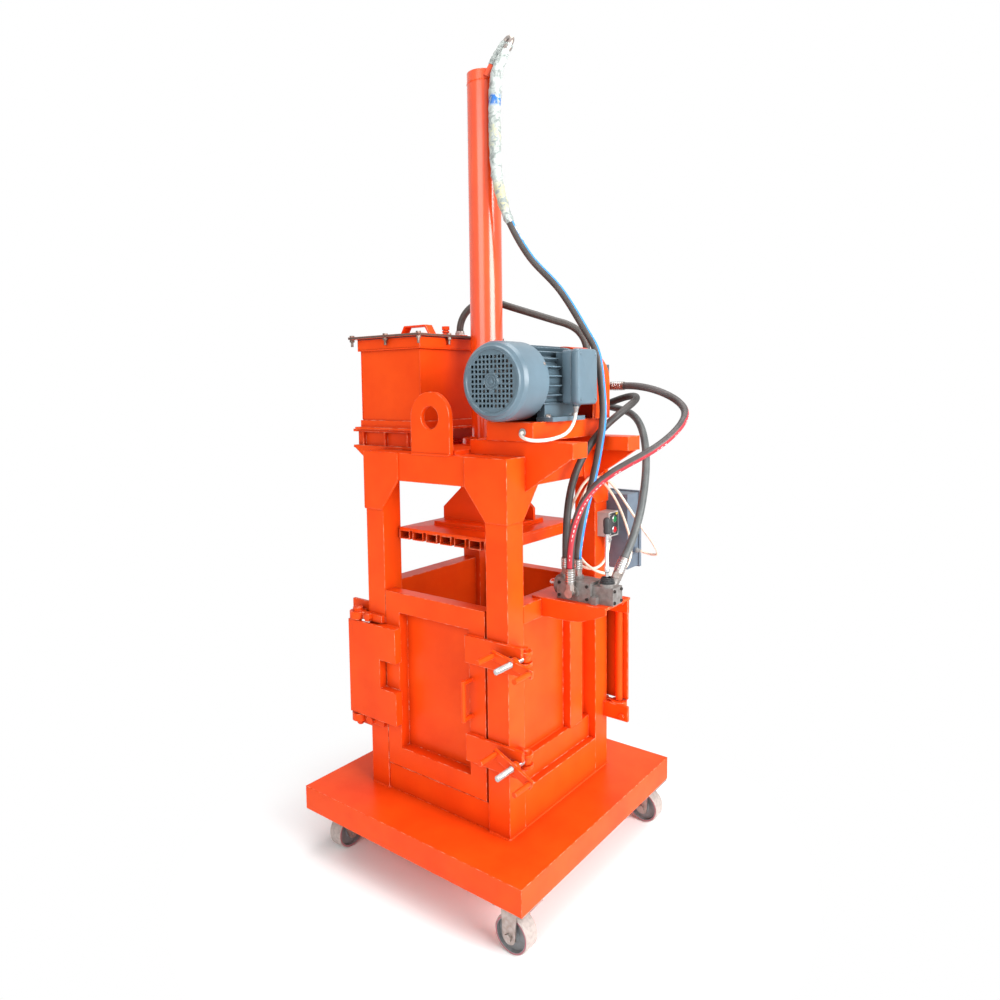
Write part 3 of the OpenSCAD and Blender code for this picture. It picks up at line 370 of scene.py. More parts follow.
upright = (0, 0, 1)
frame_welds = []
for sx in (-1, 1):
    for sy in (-1, 1):
        x0, x1 = sorted((0.19 * sx, 0.26 * sx))
        y0, y1 = sorted((0.186 * sy, 0.256 * sy))
        foot = [(x, y, 0.2) for x, y in ((x0, y0), (x1, y0), (x1, y1), (x0, y1), (x0, y0))]
        front_cut = ((0.124, 1.205), (0.124, 1.129), (0.194, 1.039), (0.264, 1.039))
        side_cut = ((0.12, 1.205), (0.12, 1.129), (0.19, 1.039), (0.26, 1.039))
        frame_welds += weld_runs(
            (0.004, *foot),
            (0.0028, *[(x * sx, 0.2575 * sy, z) for x, z in front_cut]),
            (0.0028, *[(0.2615 * sx, y * sy, z) for y, z in side_cut]),
            (0.003, (0.2145 * sx, 0.1855 * sy, 0.376), (0.2145 * sx, 0.1855 * sy, 0.761)),
            (0.0025, (0.2595 * sx, 0.1858 * sy, 0.763), (0.2595 * sx, 0.1858 * sy, 0.811)),
            (0.003, (0.19 * sx, 0.1858 * sy, 1.127), (0.259 * sx, 0.1858 * sy, 1.127)))
    frame_welds += weld_runs((0.003, (0.214 * sx, -0.185, 0.3755), (0.214 * sx, 0.185, 0.3755)),
                             (0.004, (0.26 * sx, -0.185, 0.2005), (0.26 * sx, 0.185, 0.2005)))
for sy in (-1, 1):
    frame_welds += weld_runs((0.0035, (-0.071, 0.2565 * sy, 1.2075), (0.071, 0.2565 * sy, 1.2075)),
                             (0.003, (-0.071, 0.2405 * sy, 1.2075), (0.071, 0.2405 * sy, 1.2075)))
frame_welds += weld_runs((0.0035, *ring((0, 0, 1.2195), upright, 0.0765)),
                         (0.0035, *ring((0, 0, 1.2395), upright, 0.0485)),
                         (0.0016, *ring((0, 0, 2.262), upright, 0.0475)))
frame_welds += weld_runs(*[(0.0035, (x, -0.185, 1.2075), (x, 0.185, 1.2075)) for x in (-0.077, 0.077)])
piece("frame_weld_beads", frame_welds, weld_enamel, "frame")

# The doors: each is a welded frame with a thin skin stitched into its recess, a hinge leaf and two latch
# forks. The rear door is the front one turned half a turn.


def turned_about(parts):
    """The same surfaces half a turn round the upright axis."""
    return [(p * np.array([-1.0, -1.0, 1.0]), f) for p, f in parts]


def door_welds():
    """Stitches down the recess, runs round the hinge leaf and forks, and rings at the handle's feet."""
    out = []
    for x in (-0.1335, 0.1275):
        for z in np.arange(0.345, 0.735, 0.062):
            run = 0.03 + 0.016 * rng.random()
            out.append(bead([(x, -0.2235, z), (x, -0.2235, z + run)], 0.0028))
    return out + weld_runs(
        *[(0.0026, (x, -0.2235, z), (x + 0.034, -0.2235, z)) for z in (0.3385, 0.7415)
          for x in np.arange(-0.125, 0.115, 0.07)],
        *[(0.003, (-0.186, -0.2565, z), (-0.128, -0.2565, z)) for z in (0.414, 0.698)],
        *[(0.003, (0.126, -0.2572, z + side), (0.18, -0.2572, z + side)) for z in (0.42, 0.692)
          for side in (-0.0365, 0.0365)],
        *[(0.0018, *ring((0.135, -0.2565, z), (0, 1, 0), 0.0066, 18)) for z in (0.506, 0.606)])


front_welds = door_welds()
piece("front_door_weld_beads", front_welds, weld_enamel, "front_door")
piece("rear_door_weld_beads", turned_about(front_welds), weld_enamel, "rear_door")

# The swing bolts: forged eyes on bright threaded rod, cut with a coarse 2 mm thread.
# The wing nuts run on them and keep their CAD solids, under the same enamel as the frame.


def turned(profile, base, way, cols=40):
    """A lathe shape: each (radius, distance) row of the profile becomes a circle about the line that
    starts at base and runs in the direction way."""
    d = np.array([way], float) / np.linalg.norm(way)
    a, b = square_to(d)
    row = np.asarray(profile, float)
    w = np.linspace(0, 2 * np.pi, cols, endpoint=False)[None, :, None]
    out = np.cos(w) * a + np.sin(w) * b
    points = np.array(base) + row[:, 1, None, None] * d + row[:, 0, None, None] * out
    return points, grid_faces(len(row), cols)


def threaded_rod(base, tip, r, pitch, depth):
    """A cut thread: the radius drops by depth in a triangle wave of distance over pitch less angle over a
    turn, so the ridge climbs one pitch each turn; both ends are closed by a chamfer."""
    span = np.array(tip, float) - np.array(base, float)
    length = np.linalg.norm(span)
    d = (span / length)[None]
    a, b = square_to(d)
    t = np.linspace(0, length, int(length / pitch * 6))
    w = np.linspace(0, 2 * np.pi, 20, endpoint=False)
    wave = np.abs((t[:, None] / pitch - w[None] / (2 * np.pi)) % 1.0 - 0.5) * 2
    rad = r - depth * wave
    rad *= np.clip((length - t) / 0.0015, 0.75, 1.0)[:, None]
    ends = np.zeros((1, len(w)))
    rad = np.vstack([ends, rad, ends])
    t = np.concatenate([t[:1], t, t[-1:]])[:, None, None]
    turn = w[None, :, None]
    points = np.array(base) + t * d + rad[..., None] * (np.cos(turn) * a + np.sin(turn) * b)
    return points, grid_faces(len(rad), len(w))


bright_stud = plated_steel("bright_zinc_thread", "#D6D7D8", "#C6C5C0", 0.24)
eye = [(0.00606, -0.01), (0.0135, -0.01), (0.015, -0.0085), (0.015, 0.0085), (0.0135, 0.01),
       (0.00606, 0.01), (0.00606, -0.01)]
for tag, z in (("u", 0.692), ("l", 0.42)):
    bolt = [threaded_rod((0.294, -0.2435, z), (0.294, -0.354, z), 0.008, 0.002, 0.0011)]
    bolt_eye = [turned(eye, (0.294, -0.23, z), (0, 0, 1))]
    for side, placed in (("f", list), ("r", turned_about)):
        node = "swing_bolt_" + side + tag
        piece("swing_bolt_thread_" + side + tag, placed(bolt), bright_stud, node, [node],
              sharp=55)
        piece("swing_bolt_eye_" + side + tag, placed(bolt_eye), orange_enamel, node,
              sharp=55)

# The hoses: rubber hydraulic hoses between the pump, tank, valve and cylinder, pushed into crimped ends.
# Each is a round section carried along its route; two have a printed line on the side that faces the
# viewer.


def smooth_route(points_mm, out, into, per=8):
    """Catmull-Rom: each stretch is the cubic through two points, sloped like the chord of their
    neighbours; the first slope is out and the last is into, so the ends are square to what they enter."""
    p = np.array(points_mm, float) / 1000.0
    first = p[1] - 2 * np.linalg.norm(p[1] - p[0]) * np.array(out)
    last = p[-2] + 2 * np.linalg.norm(p[-1] - p[-2]) * np.array(into)
    q = np.vstack([first, p, last])
    a, b, c, d = (q[k:k + len(p) - 1][:, None] for k in range(4))
    t = (np.arange(per) / per)[None, :, None]
    square = (2 * a - 5 * b + 4 * c - d) * t ** 2
    cube = (3 * b - a - 3 * c + d) * t ** 3
    curve = 0.5 * (2 * b + (c - a) * t + square + cube)
    return np.vstack([curve.reshape(-1, 3), p[-1:]])


def hose_surface(path, r, cols, facing):
    """A round section of radius r on a path; angle 0 looks towards facing, a list of directions spread
    evenly over the length. Also per point the cosine and sine of its angle with the distance along the
    hose."""
    t = np.gradient(path, axis=0)
    t /= np.linalg.norm(t, axis=1, keepdims=True)
    run = along(path)
    look = np.array(facing, float)
    keys = np.linspace(0, run[-1], len(look))
    a = np.stack([np.interp(run, keys, look[:, k]) for k in range(3)], 1)
    a -= t * (a * t).sum(1, keepdims=True)
    a /= np.linalg.norm(a, axis=1, keepdims=True)
    b = np.cross(t, a)
    w = np.linspace(0, 2 * np.pi, cols, endpoint=False)
    rad = np.broadcast_to(r, (len(path), cols))
    points = path[:, None] + rad[..., None] * (np.cos(w)[None, :, None] * a[:, None]
                                               + np.sin(w)[None, :, None] * b[:, None])
    lay = np.stack(np.broadcast_arrays(np.cos(w)[None], np.sin(w)[None], run[:, None]), -1)
    return points, grid_faces(len(path), cols), lay


def lay_hose(name, node, path, diameter, material, facing, cols=24):
    points, faces, lay = hose_surface(path, diameter / 2, cols, facing)
    flat = points.reshape(-1, 3)
    count = len(flat)
    fan = np.arange(cols)
    near = np.stack([np.roll(fan, -1), fan, np.full(cols, count)], 1)
    far = np.stack([fan + count - cols, np.roll(fan, -1) + count - cols, np.full(cols, count + 1)], 1)
    mesh = bpy.data.meshes.new(name)
    mesh.from_pydata(np.vstack([flat, path[:1], path[-1:]]).tolist(), [],
                     faces.tolist() + near.tolist() + far.tolist())
    length = float(along(path)[-1])
    marks = mesh.attributes.new("lay", "FLOAT_VECTOR", "POINT")
    marks.data.foreach_set("vector", np.vstack([lay.reshape(-1, 3), [[0, 0, 0], [0, 0, length]]]).ravel())
    ob = set_up(mesh, material, "frame", [node])


def hose_rubber(name, cover, scuffed, rough, stripe=None, width=None, dash_mm=None):
    """Moulded rubber with a fine 1.5 mm cloth-wrap relief, scuffed over 40 mm patches; a printed line of
    the given half angle down one side, and in its middle pale dashes of one length and gap, worn away in
    places."""
    m, tree, spot = finish(name)
    lay = add(tree, "Attribute", attribute_name="lay")
    shade, patch = two_tones(tree, spot, 0.04, 0.38, 0.7, cover, scuffed, Detail=5.0)
    parts = add(tree, "SeparateXYZ", feeds={0: lay.outputs["Vector"]})
    if stripe:
        line = add(tree, "MapRange", {"From Min": math.cos(width) - 0.03,
                                      "From Max": math.cos(width) + 0.03}, {"Value": parts.outputs["X"]})
        shade = add(tree, "MixRGB", {"Color2": linear(stripe)}, {"Fac": line, "Color1": shade})
        steps = add(tree, "Math", {1: 1000 / dash_mm}, {0: parts.outputs["Z"]}, operation="MULTIPLY")
        beat = add(tree, "Math", feeds={0: steps}, operation="FRACT")
        dash = add(tree, "Math", {1: 0.55}, {0: beat}, operation="LESS_THAN")
        middle = add(tree, "MapRange", {"From Min": math.cos(width * 0.22) - 0.008,
                                        "From Max": math.cos(width * 0.22) + 0.008},
                     {"Value": parts.outputs["X"]})
        kept = add(tree, "MapRange", {"From Min": 0.48, "From Max": 0.54}, {"Value": patch})
        mark = add(tree, "Math", feeds={0: dash, 1: middle}, operation="MULTIPLY")
        print_share = add(tree, "Math", feeds={0: mark, 1: kept}, operation="MULTIPLY")
        shade = add(tree, "MixRGB", {"Color2": linear("#EDE0DC")}, {"Fac": print_share, "Color1": shade})
    turns = add(tree, "Math", {1: 2 * math.pi / 0.0015}, {0: parts.outputs["Z"]}, operation="MULTIPLY")
    wave = add(tree, "Math", feeds={0: turns}, operation="SINE")
    skin = add(tree, "Bump", {"Strength": 0.1, "Distance": 0.0003}, {"Height": wave})
    shader = add(tree, "BsdfPrincipled", {"Roughness": rough, "IOR": 1.5},
                 {"Base Color": shade, "Normal": skin})
    add(tree, "OutputMaterial", feeds={"Surface": shader})
    return m


cap_route = [(80.7, -21.7, 2302.5), (70.3, -29.2, 2262), (65.3, -29.3, 2216), (62.7, -30, 2160),
             (63.7, -30.5, 2105), (69.6, -34.8, 2015), (83.6, -36.6, 1940), (106, -20, 1854),
             (153, 10, 1756), (227, 50, 1662), (294, 75, 1547), (327, 85, 1479), (342, 85, 1381),
             (348, 80, 1297), (344, 65, 1214), (338, 40, 1128), (336, 5, 1054), (340, -30, 985),
             (345, -52, 924)]
pressure_route = [(337.5, 225, 1389), (378.9, 227.6, 1387.2), (419.1, 234.6, 1379.3),
                  (458.1, 239.8, 1365.7), (495.1, 236.9, 1347.4), (525.9, 219.3, 1326.4),
                  (544.2, 188.5, 1305.8), (550, 153.1, 1284.8), (545.3, 118.3, 1262.7),
                  (532.5, 85.5, 1240.6), (513.2, 55.2, 1219.7), (489.2, 27.3, 1200.3),
                  (462.5, 1.7, 1181.3), (434.9, -21.7, 1160.7), (409, -42.8, 1136), (387.2, -61, 1105.7),
                  (371.1, -75.8, 1070.3), (360.7, -87.2, 1031.7), (354.8, -95.2, 991.3),
                  (352.4, -99.9, 950.1), (352, -101, 908.5)]
rod_route = [(0, 91.5, 1262), (5.7, 132, 1262.1), (26, 167.7, 1263.2), (53.6, 198.1, 1266.5),
             (84.7, 224.4, 1272.8), (117.6, 247.1, 1282.6), (151.5, 266.7, 1295.5), (186.2, 283, 1310.6),
             (221.9, 295.9, 1326.7), (259.2, 304.1, 1342), (298.4, 303.3, 1353.9), (335.3, 286.4, 1358),
             (361.7, 255.6, 1353.4), (371.6, 217.9, 1341.2), (366, 181.2, 1323.6), (354.8, 147.3, 1302.9),
             (337.3, 123.8, 1279.6), (325.2, 94.2, 1253.6), (314.8, 66.6, 1224.8), (311.8, 33.1, 1193.4),
             (306.5, 10, 1159.8), (303.9, -10, 1123.8), (303.8, -26.1, 1085.9), (305, -38.1, 1046.5),
             (306.6, -46.2, 1006.1), (307.7, -50.8, 965.2), (308, -52, 924)]
return_route = [(446.8, 21.1, 923.8), (451.3, 45.3, 957.7), (453.3, 70.1, 991.3), (452.6, 94.5, 1025.3),
                (449.6, 117.9, 1059.9), (444.8, 140.2, 1095), (438.3, 161.8, 1130.3),
                (429.7, 183.1, 1165.3), (418.1, 204.5, 1199.3), (402.6, 226.5, 1231.4),
                (382.7, 249.6, 1260), (357.8, 273.6, 1283.4), (327.8, 297.3, 1300.4),
                (293.1, 317.8, 1311.5), (254.4, 331.4, 1319.3), (213.5, 334.6, 1326.8),
                (173.7, 326.2, 1336.3), (138.4, 307.6, 1348.5), (109.3, 281.5, 1363.2),
                (85.8, 250.9, 1379.4), (65.1, 218.5, 1396), (43.3, 186.8, 1412.5), (15.6, 159.5, 1427.8),
                (-21.1, 143, 1438), (-62.6, 140, 1440)]
suction_route = [(-155, 60, 1567), (-148.1, 62.9, 1602.9), (-128.6, 71, 1632.8), (-99.7, 83.1, 1651.8),
                 (-66.1, 97.1, 1656.8), (-33.2, 110.9, 1647.9), (-0.9, 124.4, 1636.2),
                 (31.4, 137.9, 1624.5), (63.7, 151.4, 1612.9), (96, 164.9, 1601.2),
                 (128.4, 178.4, 1589.5), (160.7, 191.9, 1577.8), (189.6, 204, 1558.8),
                 (209.1, 212.1, 1528.9), (216, 215, 1493)]
viewer = np.array([0.61, -0.79, 0.0])
right = np.array([0.79, 0.61, 0.0])
down = np.array([0.0, 0.0, -1.0])
neck_up = np.array([0.38825, 0.29792, 0.87207])
return_up = np.array([0.11633, 0.5687, 0.81428])
cap_path = smooth_route(cap_route, -neck_up, down)
pressure_path = smooth_route(pressure_route, (1, 0, 0), down)
rod_path = smooth_route(rod_route, (0, 1, 0), down)
return_path = smooth_route(return_route, return_up, (-1, 0, 0))
suction_path = smooth_route(suction_route, -down, down)
lay_hose("pump_hose", "pressure_hose", pressure_path, 0.021,
         hose_rubber("hose_rubber_red_line", "#3C3736", "#4C4645", 0.5, "#A8212F", 0.7, 13),
         [down - viewer, right + down * 0.5, right + viewer * 0.6, down + viewer,
                                   down + viewer, viewer + down * 0.6, viewer - right * 0.3])
lay_hose("rod_end_hose", "rod_hose", rod_path, 0.021,
         hose_rubber("hose_rubber_plain", "#322F2D", "#413D3B", 0.52),
         [viewer + right])
lay_hose("tank_return_hose", "return_hose", return_path, 0.022,
         hose_rubber("hose_rubber_grey", "#4C5050", "#5B5E5D", 0.46),
         [viewer + right])
lay_hose("tank_suction_hose", "suction_hose", suction_path, 0.022,
         hose_rubber("hose_rubber_suction", "#3C3936", "#494541", 0.5),
         [viewer])

# The packing film: thin clear-white plastic wrapped by hand round the neck of the cap hose and taped to
# it, crumpled into folds; its lower end runs down along the hose.


def film_sleeve(path, r, seed, cols=40):
    """A crumpled wrap: the radius r of each ring is raised by folds, the sharp crests of several waves
    that run round and along the sleeve at different slants, and the ends are drawn in."""
    draw = np.random.default_rng(seed)
    run = along(path)
    w = np.linspace(0, 2 * np.pi, cols, endpoint=False)
    fold = np.zeros((len(path), cols))
    for k in range(9):
        turns, pitch, start = draw.integers(1, 5), draw.uniform(0.025, 0.09), draw.uniform(0, 6.3)
        height = draw.uniform(0.3, 1.0)
        slant = 2 * np.pi * run[:, None] / pitch * draw.choice([-1, 1])
        fold += height * (1 - np.abs(np.sin(turns * w[None] + slant + start))) ** 2
    fold = fold / fold.max()
    rad = np.asarray(r)[:, None] * (0.83 + 0.25 * fold)
    return hose_surface(path, rad, cols, [viewer + right])[:2]


def crumpled_film(name):
    """Thin polythene in layers: white where it stands off and grey-green in the folds, where the fold
    bump sinks, a painted shade; with one blue tape mark and two yellowed patches at set heights, and a
    wet-looking skin."""
    m, tree, spot = finish(name)
    # Painted shade: where the fold noise is low, which the bump also sinks, the film turns grey-green.
    shade, fold_and_shade_noise = two_tones(tree, spot, 0.022, 0.4, 0.56, "#868E8B", "#BEC5C1", Detail=6.0,
                              Roughness=0.65, Distortion=1.4)
    height = add(tree, "SeparateXYZ", feeds={0: spot})
    for at, half, code, least in ((2.195, 0.019, "#2468B4", 0.49), (1.925, 0.05, "#B9B490", 0.44),
                                  (2.1, 0.05, "#B8B99A", 0.5)):
        off = add(tree, "Math", {1: at}, {0: height.outputs["Z"]}, operation="SUBTRACT")
        size = add(tree, "Math", feeds={0: off}, operation="ABSOLUTE")
        zone = add(tree, "MapRange", {"From Min": half, "From Max": half * 0.5}, {"Value": size})
        torn = add(tree, "MapRange", {"From Min": least, "From Max": least + 0.05}, {"Value": fold_and_shade_noise})
        share = add(tree, "Math", feeds={0: zone, 1: torn}, operation="MULTIPLY")
        shade = add(tree, "MixRGB", {"Color2": linear(code)}, {"Fac": share, "Color1": shade})
    skin = add(tree, "Bump", {"Strength": 0.5, "Distance": 0.002}, {"Height": fold_and_shade_noise})
    shader = add(tree, "BsdfPrincipled", {"Roughness": 0.25, "IOR": 1.5},
                 {"Base Color": shade, "Normal": skin})
    add(tree, "OutputMaterial", feeds={"Surface": shader})
    return m


neck_foot = np.array([0.0408, -0.0253, 2.279])
lift = np.linspace(0.021, 0.094, 36)
up_leg = neck_foot + lift[:, None] * neck_up
up_wrap = film_sleeve(up_leg, np.interp(lift, [0.021, 0.03, 0.05, 0.075, 0.094],
                                        [0.0138, 0.0148, 0.0146, 0.0138, 0.0108]), 3)
hose_top = cap_path[0]
lead_in = np.stack([hose_top + k * neck_up for k in np.linspace(0.05, 0.002, 16)])
wrap_path = np.vstack([lead_in, cap_path[cap_path[:, 2] > 1.85]])
wrap_z = wrap_path[:, 2]
wrap_r = np.interp(wrap_z, [1.85, 1.862, 1.9, 1.94, 2.015, 2.105, 2.16, 2.216, 2.262, 2.3, 2.335],
                   [0.0118, 0.0135, 0.0155, 0.0165, 0.0178, 0.0192, 0.0184, 0.0194, 0.0184, 0.0165,
                    0.0125])
down_wrap = film_sleeve(wrap_path, wrap_r, 5)
tail_path = cap_path[(cap_path[:, 2] <= 1.853) & (cap_path[:, 2] > 1.79)]
tail_side = (right * 0.9 + viewer * 0.45) * 0.0105
tail_r = np.interp(tail_path[:, 2], [1.79, 1.81, 1.853], [0.0015, 0.005, 0.0075])
tail = film_sleeve(tail_path + tail_side * (1 - tail_r / 0.016)[:, None], tail_r, 8, 24)
film = piece("hose_film_wrap", [up_wrap, down_wrap, tail], crumpled_film("polythene_film_crumpled"),
             "frame")
lay_hose("cap_end_hose", "cap_hose", cap_path, 0.021,
         hose_rubber("hose_rubber_blue_line", "#3E3936", "#4C4642", 0.5, "#2A86D4", 0.85, 26),
         [right + viewer * 0.3, right + viewer * 0.2,
                                   right - down * 0.6 + viewer * 0.2, right - down * 0.5 + viewer * 0.2,
                                   right + viewer * 0.25, right + viewer * 0.35, right + viewer * 0.4],
         24)

# The crimped hose ends: steel ferrules, zinc plated and pressed on to the hose between jaws,
# which leaves a row of raised rings round each one.
return_nut = np.array([0.4398, -0.0132, 0.8746])
crimps = []
for base, way, reach, r in (((0.308, -0.052, 0.897), (0, 0, 1), 0.024, 0.0125),
                            ((0.345, -0.052, 0.897), (0, 0, 1), 0.024, 0.0125),
                            ((0.352, -0.101, 0.872), (0, 0, 1), 0.033, 0.0125),
                            ((0.3, 0.225, 1.389), (1, 0, 0), 0.034, 0.0125),
                            (return_nut + 0.022 * return_up, return_up, 0.035, 0.014),
                            ((0, 0.076, 1.262), (0, 1, 0), 0.013, 0.0125),
                            ((-0.079, 0.14, 1.44), (1, 0, 0), 0.014, 0.014)):
    for step in np.arange(0.003, reach - 0.002, 0.0062):
        rib = [(r - 0.001, step - 0.0022), (r + 0.0006, step - 0.0016), (r + 0.0008, step),
               (r + 0.0006, step + 0.0016), (r - 0.001, step + 0.0022)]
        crimps.append(turned(rib, base, way, 28))
piece("hose_end_crimps", crimps, bright_stud, "frame")

# The two leads: sheathed cable from the motor's box into its base, and from the switch to the control
# box, the second thrown in loops over the peg on the corner plate; each leaves through a tapered gland.
motor_lead_route = [(337, -45, 1335.5), (337.4, -47.2, 1314.3), (339.6, -58.9, 1296.5),
                    (343.4, -75.8, 1283.9), (347.7, -94.9, 1275), (351.7, -115, 1268.6),
                    (354.3, -135.8, 1263.7), (354, -156.9, 1259.8), (349.2, -177.5, 1256.5),
                    (339, -196.2, 1254.1), (323.7, -211.2, 1253.3), (304.2, -219.6, 1255.4),
                    (283.9, -217.2, 1261.1), (268.5, -204.1, 1267.7), (261.9, -184.2, 1271),
                    (261.1, -162.8, 1269.5), (261.7, -141.5, 1266.8), (262, -120, 1266)]
switch_lead_route = [(285, 228, 926.5), (288.5, 211.3, 883.9), (295.7, 169.1, 863.7), (301.3, 122, 859.5),
                     (303.3, 75, 866.9), (300.6, 32, 887.1), (294.2, -0.3, 921.2), (287.5, -14.6, 965.8),
                     (283.9, -7.6, 1012.5), (283.3, 17.6, 1052.8), (281.7, 52.9, 1084.9),
                     (279.2, 93.1, 1110.4), (279.8, 138.4, 1124.2), (290.1, 179.9, 1105.6),
                     (305.1, 207.3, 1069.7), (321, 223.9, 1027.9), (336.9, 231.5, 983.5),
                     (352.5, 229.9, 938.5), (364.8, 216.1, 894.7), (366.3, 184.5, 860),
                     (355.2, 140.3, 847.6), (340.2, 95.6, 854.3), (325.6, 54.9, 874.2),
                     (312.4, 21.8, 905.7), (302.6, 3, 948.1), (298.6, 4.4, 995.3), (297.8, 23, 1039.1),
                     (296.8, 53.2, 1076), (295.5, 90.6, 1105.6), (296.7, 134.2, 1124.2),
                     (305.3, 178.4, 1112.4), (321.8, 208.5, 1079.7), (344.6, 222.4, 1040.3),
                     (370.7, 228.8, 1000.8), (398, 234.9, 962), (424.2, 244.2, 923.3),
                     (423, 273.7, 888.8), (386.3, 299.6, 877.5), (339.5, 300, 884)]


def pvc_sheath(name, clean, soiled):
    """Extruded PVC: a smooth, slightly soft sheath, handled grey over 60 mm lengths."""
    m, tree, spot = finish(name)
    shade = two_tones(tree, spot, 0.06, 0.4, 0.72, clean, soiled, Detail=5.0)[0]
    shader = add(tree, "BsdfPrincipled", {"Roughness": 0.38, "IOR": 1.53}, {"Base Color": shade})
    add(tree, "OutputMaterial", feeds={"Surface": shader})
    return m


motor_path = smooth_route(motor_lead_route, down, (0, 1, 0))
switch_path = smooth_route(switch_lead_route, down, (-1, 0, 0))
lay_hose("motor_feed_lead", "motor_lead", motor_path, 0.009,
         pvc_sheath("pvc_sheath_white", "#E6E2DA", "#CFC8BD"), [viewer + right],
         16)
lay_hose("switch_feed_lead", "switch_lead", switch_path, 0.008,
         pvc_sheath("pvc_sheath_cream", "#E8D8C6", "#D0BCA6"), [viewer + right],
         16)

# The motor, valve, pump, rod and boxes keep their solids. The motor is sprayed with grey-blue enamel, the
# valve is cast iron dulled by phosphate, the pump is die-cast alloy, the rod is chromed, the boxes are
# moulded.
# The motor's near-black fourth colour is painted shade between its fins and in corners; its pale third
# colour on edges is partly painted highlight.
motor_enamel = sprayed_enamel("motor_enamel_grey_blue", "#5E7481", "#51646F", "#A9BCC7", "#1E272C", 0.28,
                              1.4, 0.5)
wear(motor_enamel, "motor_body", "fan_cover", "terminal_box")
iron = plated_steel("valve_iron_phosphated", "#86827F", "#716B67", 0.44, 0.35)
wear(iron, "valve_body")
alloy = plated_steel("pump_alloy_die_cast", "#85888B", "#75787B", 0.45)
wear(alloy, "gear_pump")
bright = plated_steel("hard_chrome_ground", "#DDDEE0", "#D2D3D6", 0.16)
wear(bright, "piston_rod")


def moulded(name, tone, deep, rough):
    """Injection-moulded plastic with a fine 0.8 mm spark-eroded grain and faint handling marks."""
    m, tree, spot = finish(name)
    shade = two_tones(tree, spot, 0.03, 0.4, 0.72, tone, deep, Detail=5.0)[0]
    grain = add(tree, "TexNoise", {"Scale": 1 / 0.0008, "Detail": 1.0}, {"Vector": spot})
    rounded = add(tree, "Bevel", {"Radius": 0.0012}, samples=4)
    skin = add(tree, "Bump", {"Strength": 0.08, "Distance": 0.0002}, {"Height": grain, "Normal": rounded})
    shader = add(tree, "BsdfPrincipled", {"Roughness": rough, "IOR": 1.5},
                 {"Base Color": shade, "Normal": skin})
    add(tree, "OutputMaterial", feeds={"Surface": shader})
    return m


wear(moulded("abs_moulded_grey", "#B4B2AE", "#A29F9B", 0.45), "button_box")
wear(moulded("abs_moulded_slate", "#5F6B78", "#566170", 0.5), "enclosure")
wear(moulded("abs_moulded_green", "#1E8A4C", "#18743F", 0.3), "start_button")
wear(moulded("abs_moulded_red", "#C8202A", "#A91A22", 0.3), "stop_button")
bellows_rubber = moulded("rubber_moulded_black", "#2A2B2D", "#343536", 0.55)

# The valve lever: a chromed steel rod screwed into a black moulded grip.
# It comes up through a rubber bellows that keeps dirt off the spool.
lever_foot = np.array([0.436, -0.054, 0.0])
lever_rod = [(0.0, 0.866), (0.004, 0.866), (0.005, 0.868), (0.005, 0.877), (0.0052, 0.9), (0.0072, 0.902),
             (0.0072, 0.916), (0.0052, 0.919), (0.005, 1.004), (0.0, 1.004)]
grip = [(0.0, 1.0025), (0.0068, 1.0025), (0.0088, 1.005), (0.0095, 1.011), (0.0088, 1.016),
        (0.0097, 1.024), (0.0098, 1.036), (0.0084, 1.0425), (0.0046, 1.0455), (0.0, 1.046)]
fold = np.linspace(0, 1, 61)
bellows_out = 0.0195 - 0.005 * fold + 0.0014 * np.cos(fold * 6 * np.pi)
bellows = [(0.0118, 0.0), *zip(bellows_out, 0.0152 * fold), (0.0118, 0.0152), (0.0118, 0.0)]
piece("lever_rod_chrome", [turned(lever_rod, lever_foot, upright, 24)], bright, "lever",
      ["lever"])
piece("lever_grip", [turned(grip, lever_foot, upright, 32)], bellows_rubber, "lever")
piece("lever_bellows", [turned(bellows, lever_foot + [0, 0, 0.872], upright, 40)], bellows_rubber,
      "frame", ["lever_boot"])

# The motor's terminal box: a pressed steel body and a deep lid with soft corners, held by four screws
# under the same enamel, and the bolts of the motor's feet with the screws of its fan cover, zinc plated.


def plate(lo, hi, axis, corner, edge, cols=40):
    """A block with soft edges: rounded-rectangle rings stacked along an axis, the first and last drawn in
    by a quarter round of size edge and then to the middle; corner is the radius of the outline and is at
    least edge."""
    lo, hi = np.array(lo, float), np.array(hi, float)
    u, v = [k for k in range(3) if k != axis]
    w = np.linspace(0, 2 * np.pi, cols, endpoint=False) + np.pi / cols
    flat = np.stack([np.cos(w), np.sin(w)], 1)
    core = (hi - lo)[[u, v]] / 2 - corner
    q = np.linspace(0, np.pi / 2, 4)
    inset = np.concatenate([edge * (1 - np.sin(q)), edge * (1 - np.sin(q[::-1]))])
    level = np.concatenate([lo[axis] + edge * (1 - np.cos(q)), hi[axis] - edge * (1 - np.cos(q[::-1]))])
    outline = np.sign(flat)[None] * core + (corner - inset)[:, None, None] * flat[None]
    points = np.tile((lo + hi) / 2, (len(inset) + 2, cols, 1))
    points[1:-1, :, u] += outline[..., 0]
    points[1:-1, :, v] += outline[..., 1]
    points[:, :, axis] = np.concatenate([[lo[axis]], level, [hi[axis]]])[:, None]
    return points, grid_faces(len(points), cols)


def screw(at, way, r, h, cols=20):
    """A domed screw head of radius r and height h standing on a face."""
    return turned([(0, -0.0005), (r, -0.0005), (r, 0.35 * h), (0.86 * r, 0.8 * h), (0.5 * r, h), (0, h)],
                  at, way, cols)


def hex_bolt(at, way, r, h):
    """A washer and a six-sided head with a small chamfer."""
    washer = turned([(0, -0.0003), (1.35 * r, -0.0003), (1.35 * r, 0.0012), (0, 0.0012)], at, way, 24)
    head = turned([(0, 0.001), (r, 0.001), (r, 0.88 * h), (0.9 * r, h), (0, h)], at, way, 6)
    return [washer, head]


